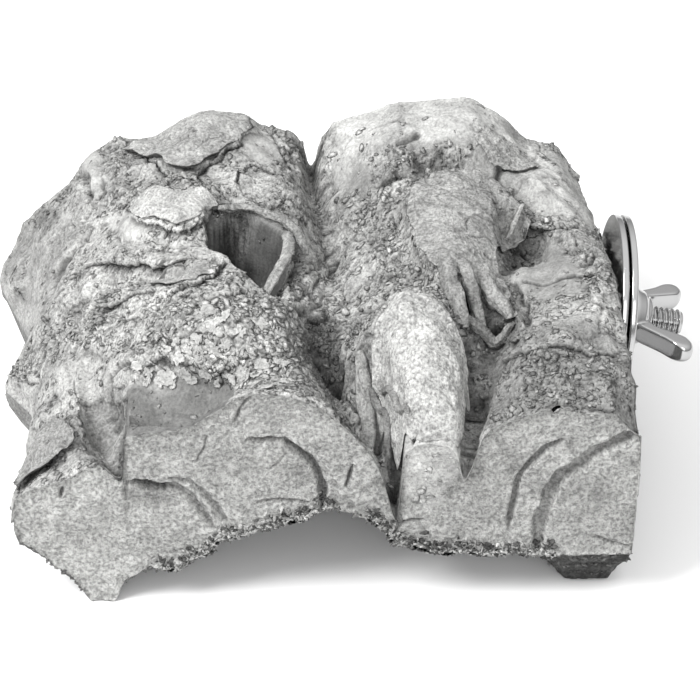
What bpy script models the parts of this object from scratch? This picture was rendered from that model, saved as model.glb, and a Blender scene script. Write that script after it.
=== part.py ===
"""Cork platform: one thick arched slab of virgin cork bark with a clamp on its right end.

The slab is sawn flat at the front, at the back and at the right end. A threaded stud is
screwed into the right end and carries two broad washers and a wing nut, which grip the
wire of a cage between them. Lengths below are in millimetres, measured from the photo's
middle column (x), the front saw cut (y) and the surface it rests on (z). They are scaled
to metres, and moved so that the origin is under the middle of the whole object, once.
"""

import math

import bmesh
import bpy
import numpy as np
from mathutils import Matrix, Vector

MM = 0.001
MIDDLE_X = -4.97
MIDDLE_Y = 56.75
TOUCHING_GAP = 0.3

# The slab seen from above: its left and right edges, as (y, x), and its depth
LEFT_EDGE = [(0, -74.5), (12, -75.5), (22, -78), (30, -77), (38, -73.5), (46, -75), (55, -82),
             (64, -80.5), (74, -77.5), (84, -80.5), (94, -85.5), (104, -88), (112, -87.5)]
RIGHT_EDGE = [(0, 63.6), (28, 62.4), (56, 60.8), (84, 59.6), (112, 57)]
DEPTH = 112.0
BACK_BOW = 1.5

# Heights of the bark's top, as (x, z) along cuts at these distances from the front
TOP_CUTS = {
    0: [(-75, 31), (-72, 33.5), (-63, 37), (-55, 41.5), (-50.6, 38.5), (-49, 49.4), (-36, 51.7),
        (-27.5, 57.8), (-22, 61.3), (-13, 60.3), (-6.7, 57.3), (0, 50.3), (4.8, 43.4), (8, 36.5),
        (10.4, 31), (12.2, 49.5), (19, 50), (23.2, 48.5), (25.5, 42), (29.2, 50.3), (35.4, 53.9),
        (43.9, 57.3), (51, 56.2), (57, 55.6), (63.6, 49.5)],
    12: [(-76, 27), (-70, 33), (-60, 39), (-55.5, 36.5), (-52, 41), (-49, 47.5), (-42, 47.5),
         (-34, 48.5), (-27, 52), (-20, 57.5), (-12, 57), (-6, 51), (-2, 45), (2.5, 38), (6, 37),
         (9, 47), (13, 54), (19, 55.5), (24, 53), (27.5, 45), (31, 49.5), (38, 54), (46, 57),
         (55, 57.3), (63, 55.5)],
    28: [(-78, 24), (-71, 33), (-62, 41), (-54, 46), (-46, 53.5), (-36, 58.5), (-26, 60.5),
         (-17, 58.5), (-11, 53), (-7, 45), (-3.5, 43), (0.5, 49), (5, 56), (12, 61.5), (18, 61),
         (24, 57), (29, 52), (35, 54), (42, 57), (52, 58.5), (62, 57.5)],
    46: [(-76, 25), (-71, 35), (-64, 43), (-56, 50), (-46, 56.5), (-36, 59.5), (-27, 59.5),
         (-20, 57.5), (-12, 54), (-7, 48), (-2, 47.5), (6, 52), (14, 57), (22, 59), (30, 55),
         (36, 52.5), (42, 55), (52, 58), (61, 60)],
    64: [(-81, 21), (-73, 35), (-63, 46), (-52, 55), (-42, 57.5), (-33, 56.5), (-24, 56.5),
         (-16, 56), (-10, 50), (-5, 46), (2, 49), (10, 55), (18, 60), (28, 60), (35, 56.5),
         (42, 53.5), (50, 55), (60, 54.5)],
    86: [(-82, 22), (-75, 35), (-68, 43), (-60, 50.5), (-50, 57), (-40, 60), (-28, 60.5),
         (-18, 58.5), (-12, 53), (-8, 47), (-4, 48), (2, 54), (10, 59.5), (20, 61.5), (30, 61),
         (38, 57.5), (46, 54.5), (54, 52), (59.6, 48)],
    112: [(-88, 17), (-83, 27), (-77, 33), (-71, 38), (-65, 46), (-58, 50.5), (-50, 50),
          (-43, 54), (-33, 57.5), (-26, 57.5), (-18.5, 56), (-12, 53), (-9.6, 47), (-7.5, 53),
          (-3, 58), (5, 60.5), (12, 63.5), (21, 64), (28, 64.8), (33, 62.5), (38, 59), (43, 54),
          (52, 50), (57, 43)],
}

# Heights of the hollow underside, as (x, z). It touches the ground at four feet
UNDER_CUTS = {
    0: [(-75, 18), (-69, 12.5), (-62, 4.5), (-59, 0), (-54, 0), (-50.8, 5.9), (-47, 9.3),
        (-38, 10.5), (-32, 14.5), (-29, 18), (-21, 21), (-12, 24), (-5, 27.5), (2.7, 26),
        (6.5, 22.6), (10.6, 17.2), (24, 14.8), (41, 14.2), (63.6, 14.2)],
    8: [(-75, 16), (-69, 8), (-63, 1), (-61, 0), (-52, 0), (-48, 6), (-38, 11), (-29, 18),
        (-16, 23), (-3, 27), (6.5, 23), (14, 17), (28, 13.5), (40, 10), (47, 3), (50, 0), (59, 0),
        (63.4, 6)],
    20: [(-77, 13), (-70, 6), (-65, 1), (-61, 0), (-53, 0), (-48, 6), (-36, 13), (-22, 20.5),
         (-6, 26), (8, 23), (20, 17), (32, 12), (41, 6), (46, 0), (58, 0), (62.8, 5)],
    56: [(-82, 13), (-74, 7), (-66, 4), (-58, 5), (-50, 9.5), (-36, 16.5), (-20, 22.5), (-4, 25),
         (12, 22.5), (28, 17), (40, 11), (50, 6.5), (56, 5), (60.6, 9)],
    96: [(-85, 11), (-80, 3), (-77, 0), (-66, 0), (-61, 5), (-50, 11), (-34, 18), (-16, 23),
         (0, 24), (16, 21), (30, 14), (39, 7), (44, 0), (53, 0), (57, 6)],
    112: [(-88, 10), (-80, 4), (-74, 2.5), (-66, 4), (-58, 8), (-48, 13), (-34, 18), (-16, 23),
          (0, 24.5), (16, 22), (30, 16), (42, 9), (50, 6), (55.5, 9)],
}
THINNEST = 7.0

# Forms that stand on the bark's top or go into it, as outlines of (x, y)
TONGUE = [(15.5, 37), (7, 35), (1, 28), (-1.5, 20), (3, 12), (9, 5), (12, -1), (24, -1),
          (26.5, 6), (28, 14), (26.5, 23), (22, 31)]
HAND_PLATE = [(12, 75), (13, 62), (15.5, 52), (18.5, 43.5), (26, 41), (33, 36), (39, 30), (38, 42),
              (35, 50), (35, 59), (43.5, 72), (37, 80), (27, 84), (18, 83)]
CROWN_PLATE = [(-53, 72), (-48, 66.5), (-40, 62), (-34, 66), (-31, 71), (-33, 80), (-42, 84),
               (-51, 81)]
BACK_PLATE = [(-58, 96), (-47, 89), (-41, 93), (-32, 96), (-24, 103), (-23, 115), (-60, 115)]
HOLLOW = [(-33, 69), (-26, 72), (-14.5, 65), (-15.5, 54), (-18, 43), (-22.5, 48), (-28, 56),
          (-32.5, 62)]
SIDE_POCKET = [(34.5, 71), (41, 73), (46, 70), (45, 60), (38, 57), (35, 61)]
SHOULDER_DIP = [(-51, 14), (-46, 6), (-36, 4), (-27, 8), (-24, 15), (-33, 20), (-44, 21)]

# Lumps on the top, as (x, y, radius across, radius along, height)
LUMPS = [(-66, 108, 9, 6, 2.5), (-60, 92, 6, 7, 3.0), (-73, 96, 7, 8, 2.5), (-70, 62, 8, 8, 2.5),
         (-62, 40, 7, 8, 2.5), (-50, 24, 5, 5, 2.5), (-38, 32, 7, 6, 2.0), (-22, 30, 8, 7, 2.0),
         (-12, 84, 6, 9, 2.5), (-36, 104, 9, 7, 2.0), (8, 96, 9, 8, 2.5), (26, 100, 9, 8, 2.0),
         (47, 88, 7, 8, 3.0), (52, 66, 6, 8, 2.0), (44, 22, 8, 9, 2.0), (55, 38, 6, 9, 2.0),
         (4, 62, 6, 6, 2.0), (-63, 14, 6, 5, 2.0), (-69, 78, 6, 6, 2.5), (36, 14, 5, 8, 2.0)]
# Grooves in the top, as (half width, depth, path)
GROOVES = [(2.4, 6.0, [(10.5, -1), (8, 8), (4, 17), (-2, 25), (-6, 33)]),
           (2.6, 4.0, [(-52, 3), (-54, 12), (-58, 22), (-60, 33)]),
           (2.6, 4.0, [(26, -1), (28, 10), (31, 22), (33, 33)]),
           (2.6, 3.5, [(-63, 54), (-55, 57), (-48, 52), (-40, 49)]),
           (2.8, 3.5, [(18, 88), (28, 90), (38, 87), (46, 80)]),
           (2.6, 3.0, [(-10, 112), (-9, 96), (-6, 80), (-3, 66)])]

# How finely the slab is faceted
COLUMNS = 50
TOP_ROWS = 31
UNDER_ROWS = 13
FACE_ROWS = 6
END_RINGS = 3
ROUGHNESS = 0.9

# The clamp: a quarter-inch stud, two broad washers flat against the sawn end, a wing nut.
# The stud was driven in at a steeper slant than the washers lie, below their middle
STUD_DROOP = math.radians(10.0)
WASHER_DROOP = math.radians(4.5)
WASHER_YAW = math.radians(1.5)
WASHER_CENTRE = (60.3, 53.7, 44.8)
WASHER_PLAY = 1.9
WASHER_RADIUS = 21.2
WASHER_THICKNESS = 1.6
WASHER_HOLE = 5.4
WASHER_GAP = 0.5
WASHER_EDGE = 0.35
ROUND_STEPS = 36

STUD_RADIUS = 3.1
STUD_ROOT = 2.6
STUD_CORE = 2.3
THREAD_PITCH = 1.27
STUD_OUT = 17.8
STUD_IN = 24.0
STUD_STEPS = 14
WOOD_PITCH = 3.0
BORE_RADIUS = 3.6
SEAT_RADIUS = 26.0
SEAT_FADE = 4.0

NUT_START = 4.7
NUT_BASE = 7.0
NUT_TOP = 5.2
NUT_HEIGHT = 5.6
NUT_BORE = 3.35
NUT_STEPS = 24
NUT_TURN = math.radians(-5.0)
WING_SPREAD = 14.4
WING_RISE = 14.6
WING_THICKNESS = 4.5


def through(knots, values, at):
    """A curve through values at knots, without overshoot: cubic pieces with limited slopes."""
    knots = np.asarray(knots, float)
    values = np.asarray(values, float)
    if values.ndim == 1:
        values = values.reshape(-1, *[1] * at.ndim) * np.ones_like(at)
    span = np.diff(knots).reshape(-1, *[1] * at.ndim)
    rise = np.diff(values, axis=0) / span
    before, after = rise[:-1], rise[1:]
    same_way = before * after > 0
    both = np.where(same_way, before + after, 1.0)
    slope = np.zeros_like(values)
    slope[1:-1] = np.where(same_way, 2 * before * after / both, 0.0)
    piece = np.clip(np.searchsorted(knots, at, "right") - 1, 0, len(knots) - 2)

    def pick(stack, index):
        return np.take_along_axis(stack, index[None], 0)[0]

    width = np.diff(knots)[piece]
    t = np.clip((at - knots[piece]) / width, 0, 1)
    low, high = pick(values, piece), pick(values, piece + 1)
    slope_low, slope_high = pick(slope, piece) * width, pick(slope, piece + 1) * width
    return (low * (1 + 2 * t) * (1 - t) ** 2 + slope_low * t * (1 - t) ** 2
            + high * t * t * (3 - 2 * t) + slope_high * t * t * (t - 1))


def edge(points, y):
    """The x of an edge that is given as (y, x) points."""
    knots, values = zip(*points)
    return through(knots, values, y)


def lofted(cuts, x, y):
    """A height from cuts across the slab: a curve along each cut, then a curve from cut to cut."""
    heights = [through(*zip(*cut), x) for cut in cuts.values()]
    return through(list(cuts), np.stack(heights), y)


def to_path(x, y, path, closed=False):
    """The distance to a run of straight pieces, and whether the point is inside it if closed."""
    points = np.asarray(path, float)
    ends = np.roll(points, -1, axis=0) if closed else points[1:]
    nearest = np.full(x.shape, np.inf)
    inside = np.zeros(x.shape, bool)
    for (ax, ay), (bx, by) in zip(points, ends):
        dx, dy = bx - ax, by - ay
        t = np.clip(((x - ax) * dx + (y - ay) * dy) / (dx * dx + dy * dy), 0, 1)
        nearest = np.minimum(nearest, np.hypot(x - ax - t * dx, y - ay - t * dy))
        crosses = (ay > y) != (by > y)
        level = dy if dy else 1.0
        inside ^= crosses & (x < ax + (y - ay) / level * dx)
    return nearest, inside


def raised(x, y, outline, height, slope_width):
    """A plate of the given height inside an outline, falling off over slope_width around it."""
    distance, inside = to_path(x, y, outline, closed=True)
    depth_in = np.where(inside, distance, -distance)
    t = np.clip(depth_in / slope_width + 0.5, 0, 1)
    return height * t * t * (3 - 2 * t)


def lumps(x, y):
    """Rounded lumps, each a bell over an ellipse."""
    total = np.zeros_like(x)
    for cx, cy, across, along, height in LUMPS:
        total += height * np.exp(-((x - cx) / across) ** 2 - ((y - cy) / along) ** 2)
    return total


def grooves(x, y):
    """Cracks and valleys, each a bell-shaped trench along its path."""
    total = np.zeros_like(x)
    for half_width, depth, path in GROOVES:
        distance, _ = to_path(x, y, path)
        total = np.maximum(total, depth * np.exp(-((distance / half_width) ** 2)))
    return total


def ripple(x, y, z):
    """A small uneven swell in all directions, from a few crossed waves."""
    return (np.sin(0.61 * x + 1.3 * np.sin(0.23 * y) + 0.4 * z)
            + np.sin(0.47 * y - 0.38 * x + 2.1) * np.cos(0.29 * z + 0.17 * x)
            + np.sin(0.83 * y + 0.52 * x - 0.31 * z + 0.7)) / 3


def top_height(x, y):
    """The bark's top: the lofted cuts with its plates, pits, lumps and grooves."""
    z = lofted(TOP_CUTS, x, y) + lumps(x, y) - grooves(x, y)
    z += raised(x, y, TONGUE, 3.0, 3.0) + raised(x, y, HAND_PLATE, 3.0, 3.0)
    z += raised(x, y, CROWN_PLATE, 3.5, 2.5) + raised(x, y, BACK_PLATE, 2.0, 3.0)
    z -= raised(x, y, HOLLOW, 15.0, 3.0) + raised(x, y, SIDE_POCKET, 6.0, 4.0)
    z -= raised(x, y, SHOULDER_DIP, 3.0, 5.0)
    inland = np.clip(y / 10, 0, 1) * np.clip((DEPTH - y) / 10, 0, 1)
    return z + ROUGHNESS * inland * ripple(x, y, z)


def under_height(x, y):
    """The hollow underside, flat where its feet touch the ground."""
    z = lofted(UNDER_CUTS, x, y)
    return np.maximum(z + 0.8 * np.clip(z - 1, 0, 1) * ripple(x, y, 30 + z), 0)


def direction(droop, yaw=0.0):
    """A direction out to the right, drooping and turned to the back by these angles."""
    return np.array([math.cos(droop) * math.cos(yaw), math.cos(droop) * math.sin(yaw),
                     -math.sin(droop)])


def washer_way():
    return direction(WASHER_DROOP, WASHER_YAW)


def stud_way():
    return direction(STUD_DROOP)


def stud_point():
    """Where the stud passes through the inner washer's face: in front of and below its middle."""
    play = np.cross(stud_way(), np.cross(np.array([0.0, 0.62, 0.79]), stud_way()))
    return np.array(WASHER_CENTRE) - WASHER_PLAY * play / np.linalg.norm(play)


def seat(x, y, z):
    """How far a point of the right end stands out past the flat seat of the inner washer."""
    along = washer_way()
    offset = np.stack([x, y, z], -1) - np.array(WASHER_CENTRE)
    past = offset @ along + TOUCHING_GAP
    off_axis = np.linalg.norm(offset - (offset @ along)[..., None] * along, axis=-1)
    fade = np.clip((SEAT_RADIUS + SEAT_FADE - off_axis) / SEAT_FADE, 0, 1)
    return np.maximum(past, 0) * fade


def slab_loops():
    """The slab as closed loops in the upright planes along its length, and rings at both ends.

    A loop runs up the front face, back over the top, down the back face and forward under the
    slab. Loop by loop, the share s of the way from the left edge to the right one goes from 0
    to 1. At both ends the loops go on, closing towards the line half way up the wall.
    """
    share = np.linspace(0, 1, COLUMNS)
    step_share = (np.array([-50.2, -49.2, 9.2, 10.4, 12.0, 25.5]) + 74.5) / 138.1
    share = np.unique(np.concatenate([share, step_share]))
    rise = np.arange(FACE_ROWS) / FACE_ROWS
    over = np.linspace(0, 1, TOP_ROWS) ** 1.1
    back_under = np.arange(1, UNDER_ROWS + 1) / (UNDER_ROWS + 1)
    along = np.concatenate([0 * rise, over, 0 * rise + 1, 1 - back_under])
    height = np.concatenate([rise, 0 * over + 1, 1 - rise - 1 / FACE_ROWS, 0 * back_under])
    at_back = (along == 1) & (height < 1)
    s, y_share = np.meshgrid(share, along, indexing="ij")
    y = DEPTH * y_share
    x = edge(LEFT_EDGE, y) * (1 - s) + edge(RIGHT_EDGE, y) * s
    under = under_height(x, y)
    top = np.maximum(top_height(x, y), under + THINNEST)
    z = under + (top - under) * height
    bow = BACK_BOW * np.sin(np.pi * s) * at_back * np.sin(np.pi * height)
    loops = np.stack([x, y + bow, z], -1)
    middle = (top + under) / 2

    def ends(row, swell):
        rings = []
        for ring in range(1, END_RINGS + 1):
            closing = 0.92 * ring / END_RINGS
            point = loops[row].copy()
            point[:, 2] = middle[row] + (point[:, 2] - middle[row]) * (1 - closing)
            point[:, 0] += swell * math.sin(math.pi / 2 * closing)
            rings.append(point)
        return rings

    left, right = ends(0, -1.4), ends(-1, 0.4)
    grid = np.concatenate([np.stack(left[::-1]), loops, np.stack(right)])
    grid[..., 0] -= seat(grid[..., 0], grid[..., 1], grid[..., 2]) / washer_way()[0]
    return grid


def to_frame(points):
    """Millimetres from the front cut to metres from the origin under the object's middle."""
    return (np.asarray(points, float) - np.array([MIDDLE_X, MIDDLE_Y, 0.0])) * MM


def finish(name, color, roughness, metallic):
    """A plain material in the part's colour."""
    material = bpy.data.materials.new(name)
    material.use_nodes = True
    shader = material.node_tree.nodes["Principled BSDF"]
    shader.inputs["Base Color"].default_value = (*color, 1.0)
    shader.inputs["Roughness"].default_value = roughness
    shader.inputs["Metallic"].default_value = metallic
    return material


def add_object(name, bm, material, smooth_angle):
    """A mesh as an object of its own, triangulated, with its faces pointing out."""
    bmesh.ops.triangulate(bm, faces=bm.faces[:])
    bmesh.ops.recalc_face_normals(bm, faces=bm.faces[:])
    mesh = bpy.data.meshes.new(name)
    bm.to_mesh(mesh)
    bm.free()
    mesh.materials.append(material)
    mesh.shade_smooth()
    mesh.set_sharp_from_angle(angle=smooth_angle)
    thing = bpy.data.objects.new(name, mesh)
    bpy.context.scene.collection.objects.link(thing)
    return thing


def join_rings(bm, rings):
    """Closed rings of points, each joined to the next. Gives back the rings of vertices."""
    made = [[bm.verts.new(point) for point in ring] for ring in rings]
    count = len(made[0])
    for near, far in zip(made, made[1:]):
        for k in range(count):
            follow = (k + 1) % count
            bm.faces.new((near[k], near[follow], far[follow], far[k]))
    return made


def loft_mesh(rings, cap_ends=True):
    """Closed rings of points, each joined to the next, with the first and last filled."""
    bm = bmesh.new()
    made = join_rings(bm, rings)
    if cap_ends:
        bm.faces.new(made[0][::-1])
        bm.faces.new(made[-1])
    return bm


def close_strip(bm, ring, turn_at):
    """Fill a narrow ring from its vertex 0 to its vertex turn_at, between its two sides."""
    upper, lower = ring[:turn_at + 1], [ring[0]] + ring[:turn_at - 1:-1]
    a, b = 0, 1
    while a + 1 < len(upper) or b + 1 < len(lower):
        last_upper, last_lower = a + 1 == len(upper), b + 1 == len(lower)
        step_upper = last_lower or (not last_upper and upper[a + 1].co.y <= lower[b + 1].co.y)
        third = upper[a + 1] if step_upper else lower[b + 1]
        if len({upper[a], lower[b], third}) == 3:
            bm.faces.new((upper[a], lower[b], third))
        a, b = (a + 1, b) if step_upper else (a, b + 1)


def axis_frame(start, along):
    """A matrix whose z runs along an axis and whose x points to the back, scaled to metres."""
    side = np.cross([0.0, 0.0, 1.0], along)
    side /= np.linalg.norm(side)
    columns = [Vector(side), Vector(np.cross(along, side)), Vector(along)]
    turn = Matrix(columns).transposed().to_4x4()
    return Matrix.Translation(Vector(to_frame(start))) @ turn @ Matrix.Scale(MM, 4)


def stud_frame():
    return axis_frame(stud_point(), stud_way())


def turned(profile, steps, closed_profile):
    """A profile of (radius, distance along the axis) carried round the axis."""
    rings = []
    for radius, distance in profile:
        angles = [2 * math.pi * k / steps for k in range(steps)]
        rings.append([(radius * math.cos(a), radius * math.sin(a), distance) for a in angles])
    if closed_profile:
        bm = loft_mesh(rings + [rings[0]], cap_ends=False)
        bmesh.ops.remove_doubles(bm, verts=bm.verts[:], dist=1e-5)
        return bm
    return loft_mesh(rings)


def washer_profile(start):
    """A washer's section, with its outer edge rounded by stamping."""
    far, rim, soft = start + WASHER_THICKNESS, WASHER_RADIUS, WASHER_EDGE
    return [(WASHER_HOLE, start), (rim - soft, start), (rim, start + soft), (rim, far - soft),
            (rim - soft, far), (WASHER_HOLE, far)]


def make_washer(name, start, steel):
    """A broad flat washer that lies flat against the sawn end."""
    bm = turned(washer_profile(start), ROUND_STEPS, True)
    bm.transform(axis_frame(WASHER_CENTRE, washer_way()))
    return add_object(name, bm, steel, math.radians(30))


def stud_profile():
    """The stud: a wood screw inside the cork, a plain neck and a machine thread outside."""
    neck_end = NUT_START - 1.0
    profile = [(0.4, -STUD_IN), (STUD_CORE, 3.0 - STUD_IN)]
    turns = int((STUD_IN - 6.0) / WOOD_PITCH)
    for k in range(turns):
        base = 3.0 - STUD_IN + k * WOOD_PITCH
        profile += [(STUD_CORE, base + 0.9), (STUD_RADIUS, base + 1.5), (STUD_CORE, base + 2.1)]
    profile += [(STUD_ROOT, -1.0), (STUD_ROOT, neck_end)]
    crest = neck_end + THREAD_PITCH / 2
    while crest < STUD_OUT - THREAD_PITCH:
        profile += [(STUD_RADIUS, crest), (STUD_ROOT, crest + THREAD_PITCH / 2)]
        crest += THREAD_PITCH
    return profile + [(STUD_ROOT, STUD_OUT)]


def make_stud(steel):
    bm = turned(stud_profile(), STUD_STEPS, False)
    bm.transform(stud_frame())
    return add_object("hanger_bolt", bm, steel, math.radians(30))


def make_hub():
    """The nut's round body: a collar at its base and a domed shoulder, bored through."""
    end = NUT_START + NUT_HEIGHT
    profile = [(NUT_BORE, NUT_START), (NUT_BASE - 0.5, NUT_START), (NUT_BASE, NUT_START + 0.5),
               (NUT_BASE - 0.2, NUT_START + 1.8), (NUT_TOP + 0.9, NUT_START + 3.6),
               (NUT_TOP, end - 0.8), (NUT_TOP - 0.9, end), (NUT_BORE, end)]
    return turned(profile, NUT_STEPS, True)


def wing_outline():
    """Points around a wing's flat side, as (distance off the axis, distance along it)."""
    root, tip, top = NUT_TOP - 1.2, WING_SPREAD, NUT_START + WING_RISE
    return [(root, NUT_START + 0.7), (root + 3.2, NUT_START + 1.5), (tip - 3.4, top - 7.2),
            (tip - 0.7, top - 4.2), (tip, top - 2.2), (tip - 0.8, top - 0.6), (tip - 2.8, top),
            (tip - 5.0, top - 1.2), (root + 2.2, NUT_START + NUT_HEIGHT - 0.4),
            (root, NUT_START + NUT_HEIGHT - 1.2)]


def make_wing(side):
    """One wing: its outline with a rounded edge, thickest in its middle."""
    points = [Vector((off, 0, along)) for off, along in wing_outline()]
    centre = sum(points, Vector()) / len(points)
    rings = []
    for across, inset in ((-0.5, 0.78), (-0.32, 1.0), (0.32, 1.0), (0.5, 0.78)):
        ring = [centre + (point - centre) * inset for point in points]
        rings.append([(side * p.x, across * WING_THICKNESS, p.z) for p in ring])
    return loft_mesh(rings)


def make_wing_nut(steel):
    """The wing nut: hub and two wings joined in one body, on the stud's thread."""
    place = stud_frame() @ Matrix.Rotation(NUT_TURN, 4, "Z")
    wings = []
    for side, label in ((1, "guide_wing_a"), (-1, "guide_wing_b")):
        wing = make_wing(side)
        wing.transform(place)
        guide = add_object(label, wing, steel, math.radians(40))
        guide.hide_render = True
        guide.display_type = "WIRE"
        wings.append(guide)
    hub = make_hub()
    hub.transform(place)
    nut = add_object("wing_nut", hub, steel, math.radians(40))
    for guide in wings:
        join = nut.modifiers.new("join " + guide.name, "BOOLEAN")
        join.operation = "UNION"
        join.solver = "EXACT"
        join.object = guide
    return nut


def make_bark(cork):
    """The slab, with the blind hole that the stud is screwed into."""
    bm = bmesh.new()
    made = join_rings(bm, to_frame(slab_loops()))
    for ring in (made[0], made[-1]):
        close_strip(bm, ring, 2 * FACE_ROWS + TOP_ROWS - 1)
    bark = add_object("cork_bark", bm, cork, math.radians(50))
    depth = STUD_IN + 2.0
    bore = turned([(0.8, -depth), (BORE_RADIUS, 1.5 - depth), (BORE_RADIUS, 3.0)], 10, False)
    bore.transform(stud_frame())
    cutter = add_object("guide_bore", bore, cork, math.radians(30))
    cutter.hide_render = True
    cutter.display_type = "WIRE"
    cut = bark.modifiers.new("stud hole", "BOOLEAN")
    cut.operation = "DIFFERENCE"
    cut.solver = "EXACT"
    cut.object = cutter
    return bark


def main():
    for thing in list(bpy.data.objects):
        bpy.data.objects.remove(thing, do_unlink=True)
    cork = finish("cork", (0.42, 0.42, 0.41), 0.9, 0.0)
    steel = finish("zinc plated steel", (0.62, 0.62, 0.62), 0.3, 1.0)
    make_bark(cork)
    make_stud(steel)
    make_washer("inner_washer", 0.0, steel)
    make_washer("outer_washer", WASHER_THICKNESS + WASHER_GAP, steel)
    make_wing_nut(steel)


main()
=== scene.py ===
"""Cork platform: the finished look of a slab of virgin cork bark with a clamp on its end.

The slab is worked out as a fine surface from the same cuts, outlines and named lengths as the
part's solid, with the crust's ledges, cracks, pits and flakes added. Lengths are millimetres
from the photo's middle column (x), the front saw cut (y) and the ground (z), and are scaled
to metres and moved to the part's frame once, when a mesh is made.
"""

import math
from collections import namedtuple

import bpy
import numpy as np
from mathutils import Matrix, Vector


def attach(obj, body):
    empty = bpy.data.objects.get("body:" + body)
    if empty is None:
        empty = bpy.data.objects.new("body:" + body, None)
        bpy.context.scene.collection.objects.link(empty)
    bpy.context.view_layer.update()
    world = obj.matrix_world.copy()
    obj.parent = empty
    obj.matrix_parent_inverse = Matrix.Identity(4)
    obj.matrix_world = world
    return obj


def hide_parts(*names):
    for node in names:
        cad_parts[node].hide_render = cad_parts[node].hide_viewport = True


bl_info = {
    "name": "Cork platform",
    "version": (1, 0, 0),
    "blender": (4, 5, 0),
    "location": "View3D > Sidebar > Cork platform",
    "description": "Builds the crust, sawn faces and clamp of a cork platform",
    "category": "Add Mesh",
}

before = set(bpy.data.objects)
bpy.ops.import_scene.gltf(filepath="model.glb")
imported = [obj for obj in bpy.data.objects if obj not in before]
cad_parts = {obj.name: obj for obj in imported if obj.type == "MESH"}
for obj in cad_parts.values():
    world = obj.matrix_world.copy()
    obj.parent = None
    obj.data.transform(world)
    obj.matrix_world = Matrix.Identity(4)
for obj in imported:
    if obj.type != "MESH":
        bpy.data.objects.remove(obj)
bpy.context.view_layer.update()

MM = 0.001
MIDDLE_X = -4.97
MIDDLE_Y = 56.75

# The slab seen from above: its left and right edges, as (y, x), and its depth
LEFT_EDGE = [(0, -74.5), (9, -75.8), (16, -74), (24, -73), (30, -74.5), (38, -73.5), (46, -75),
             (55, -82), (64, -80.5), (74, -77.5), (84, -80.5), (94, -85.5), (104, -88),
             (112, -87.5)]
RIGHT_EDGE = [(0, 63.6), (28, 62.4), (56, 60.8), (84, 59.6), (112, 57)]
DEPTH = 112.0
# How far the sawn back bows out, and where the bow starts and how long it is
BACK_BOW = 1.5
BOW_START, BOW_LENGTH = -88.0, 145.0
# How far the walls under the left and the right edge swell out
LEFT_SWELL, RIGHT_SWELL = -1.4, 0.4
# The fissure and valley where the left and right halves of the mesh meet, as (y, x)
FISSURE = [(0, 10.4), (8, 8), (17, 4), (25, -2), (33, -5.5), (60, -6), (86, -7.5), (112, -9.6)]

# Heights of the bark's top, as (x, z) along cuts at these distances from the front
TOP_CUTS = {
    0: [(-75, 31), (-72, 33.5), (-63, 37), (-55, 41.5), (-50.6, 38.5), (-49, 49.4), (-36, 51.7),
        (-27.5, 57.8), (-22, 61.3), (-13, 60.3), (-6.7, 57.3), (0, 50.3), (4.8, 43.4), (8, 36.5),
        (10.4, 31), (12.2, 49.5), (19, 50), (23.2, 48.5), (25.5, 42), (29.2, 50.3), (35.4, 53.9),
        (43.9, 57.3), (51, 56.2), (57, 55.6), (63.6, 49.5)],
    12: [(-76, 27), (-70, 33), (-60, 39), (-55.5, 36.5), (-52, 41), (-49, 47.5), (-42, 47.5),
        (-34, 48.5), (-27, 52), (-20, 57.5), (-12, 57), (-6, 51), (-2, 45), (2.5, 38), (6, 37),
        (9, 47), (13, 54), (19, 55.5), (24, 53), (27.5, 45), (31, 49.5), (38, 54), (46, 57),
        (55, 57.3), (63, 55.5)],
    28: [(-78, 24), (-71, 33), (-62, 41), (-54, 46), (-46, 53.5), (-36, 58.5), (-26, 60.5),
        (-17, 58.5), (-11, 53), (-7, 45), (-3.5, 43), (0.5, 49), (5, 56), (12, 61.5), (18, 61),
        (24, 57), (29, 52), (35, 54), (42, 57), (52, 58.5), (62, 57.5)],
    46: [(-76, 25), (-71, 35), (-64, 43), (-56, 50), (-46, 56.5), (-36, 59.5), (-27, 59.5),
        (-20, 57.5), (-12, 54), (-7, 48), (-2, 47.5), (6, 52), (14, 57), (22, 59), (30, 55),
        (36, 52.5), (42, 55), (52, 58), (61, 60)],
    64: [(-81, 21), (-73, 35), (-63, 46), (-52, 55), (-42, 57.5), (-33, 56.5), (-24, 56.5),
        (-16, 56), (-10, 50), (-5, 46), (2, 49), (10, 55), (18, 60), (28, 60), (35, 56.5),
        (42, 53.5), (50, 55), (60, 54.5)],
    86: [(-82, 22), (-75, 35), (-68, 43), (-60, 50.5), (-50, 57), (-40, 60), (-28, 60.5),
        (-18, 58.5), (-12, 53), (-8, 47), (-4, 48), (2, 54), (10, 59.5), (20, 61.5), (30, 61),
        (38, 57.5), (46, 54.5), (54, 52), (59.6, 48)],
    112: [(-88, 17), (-83, 27), (-77, 33), (-71, 38), (-65, 46), (-58, 50.5), (-50, 50), (-43, 54),
        (-33, 57.5), (-26, 57.5), (-18.5, 56), (-12, 53), (-9.6, 47), (-7.5, 53), (-3, 58),
        (5, 60.5), (12, 63.5), (21, 64), (28, 64.8), (33, 62.5), (38, 59), (43, 54), (52, 50),
        (57, 43)],
}
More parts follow.
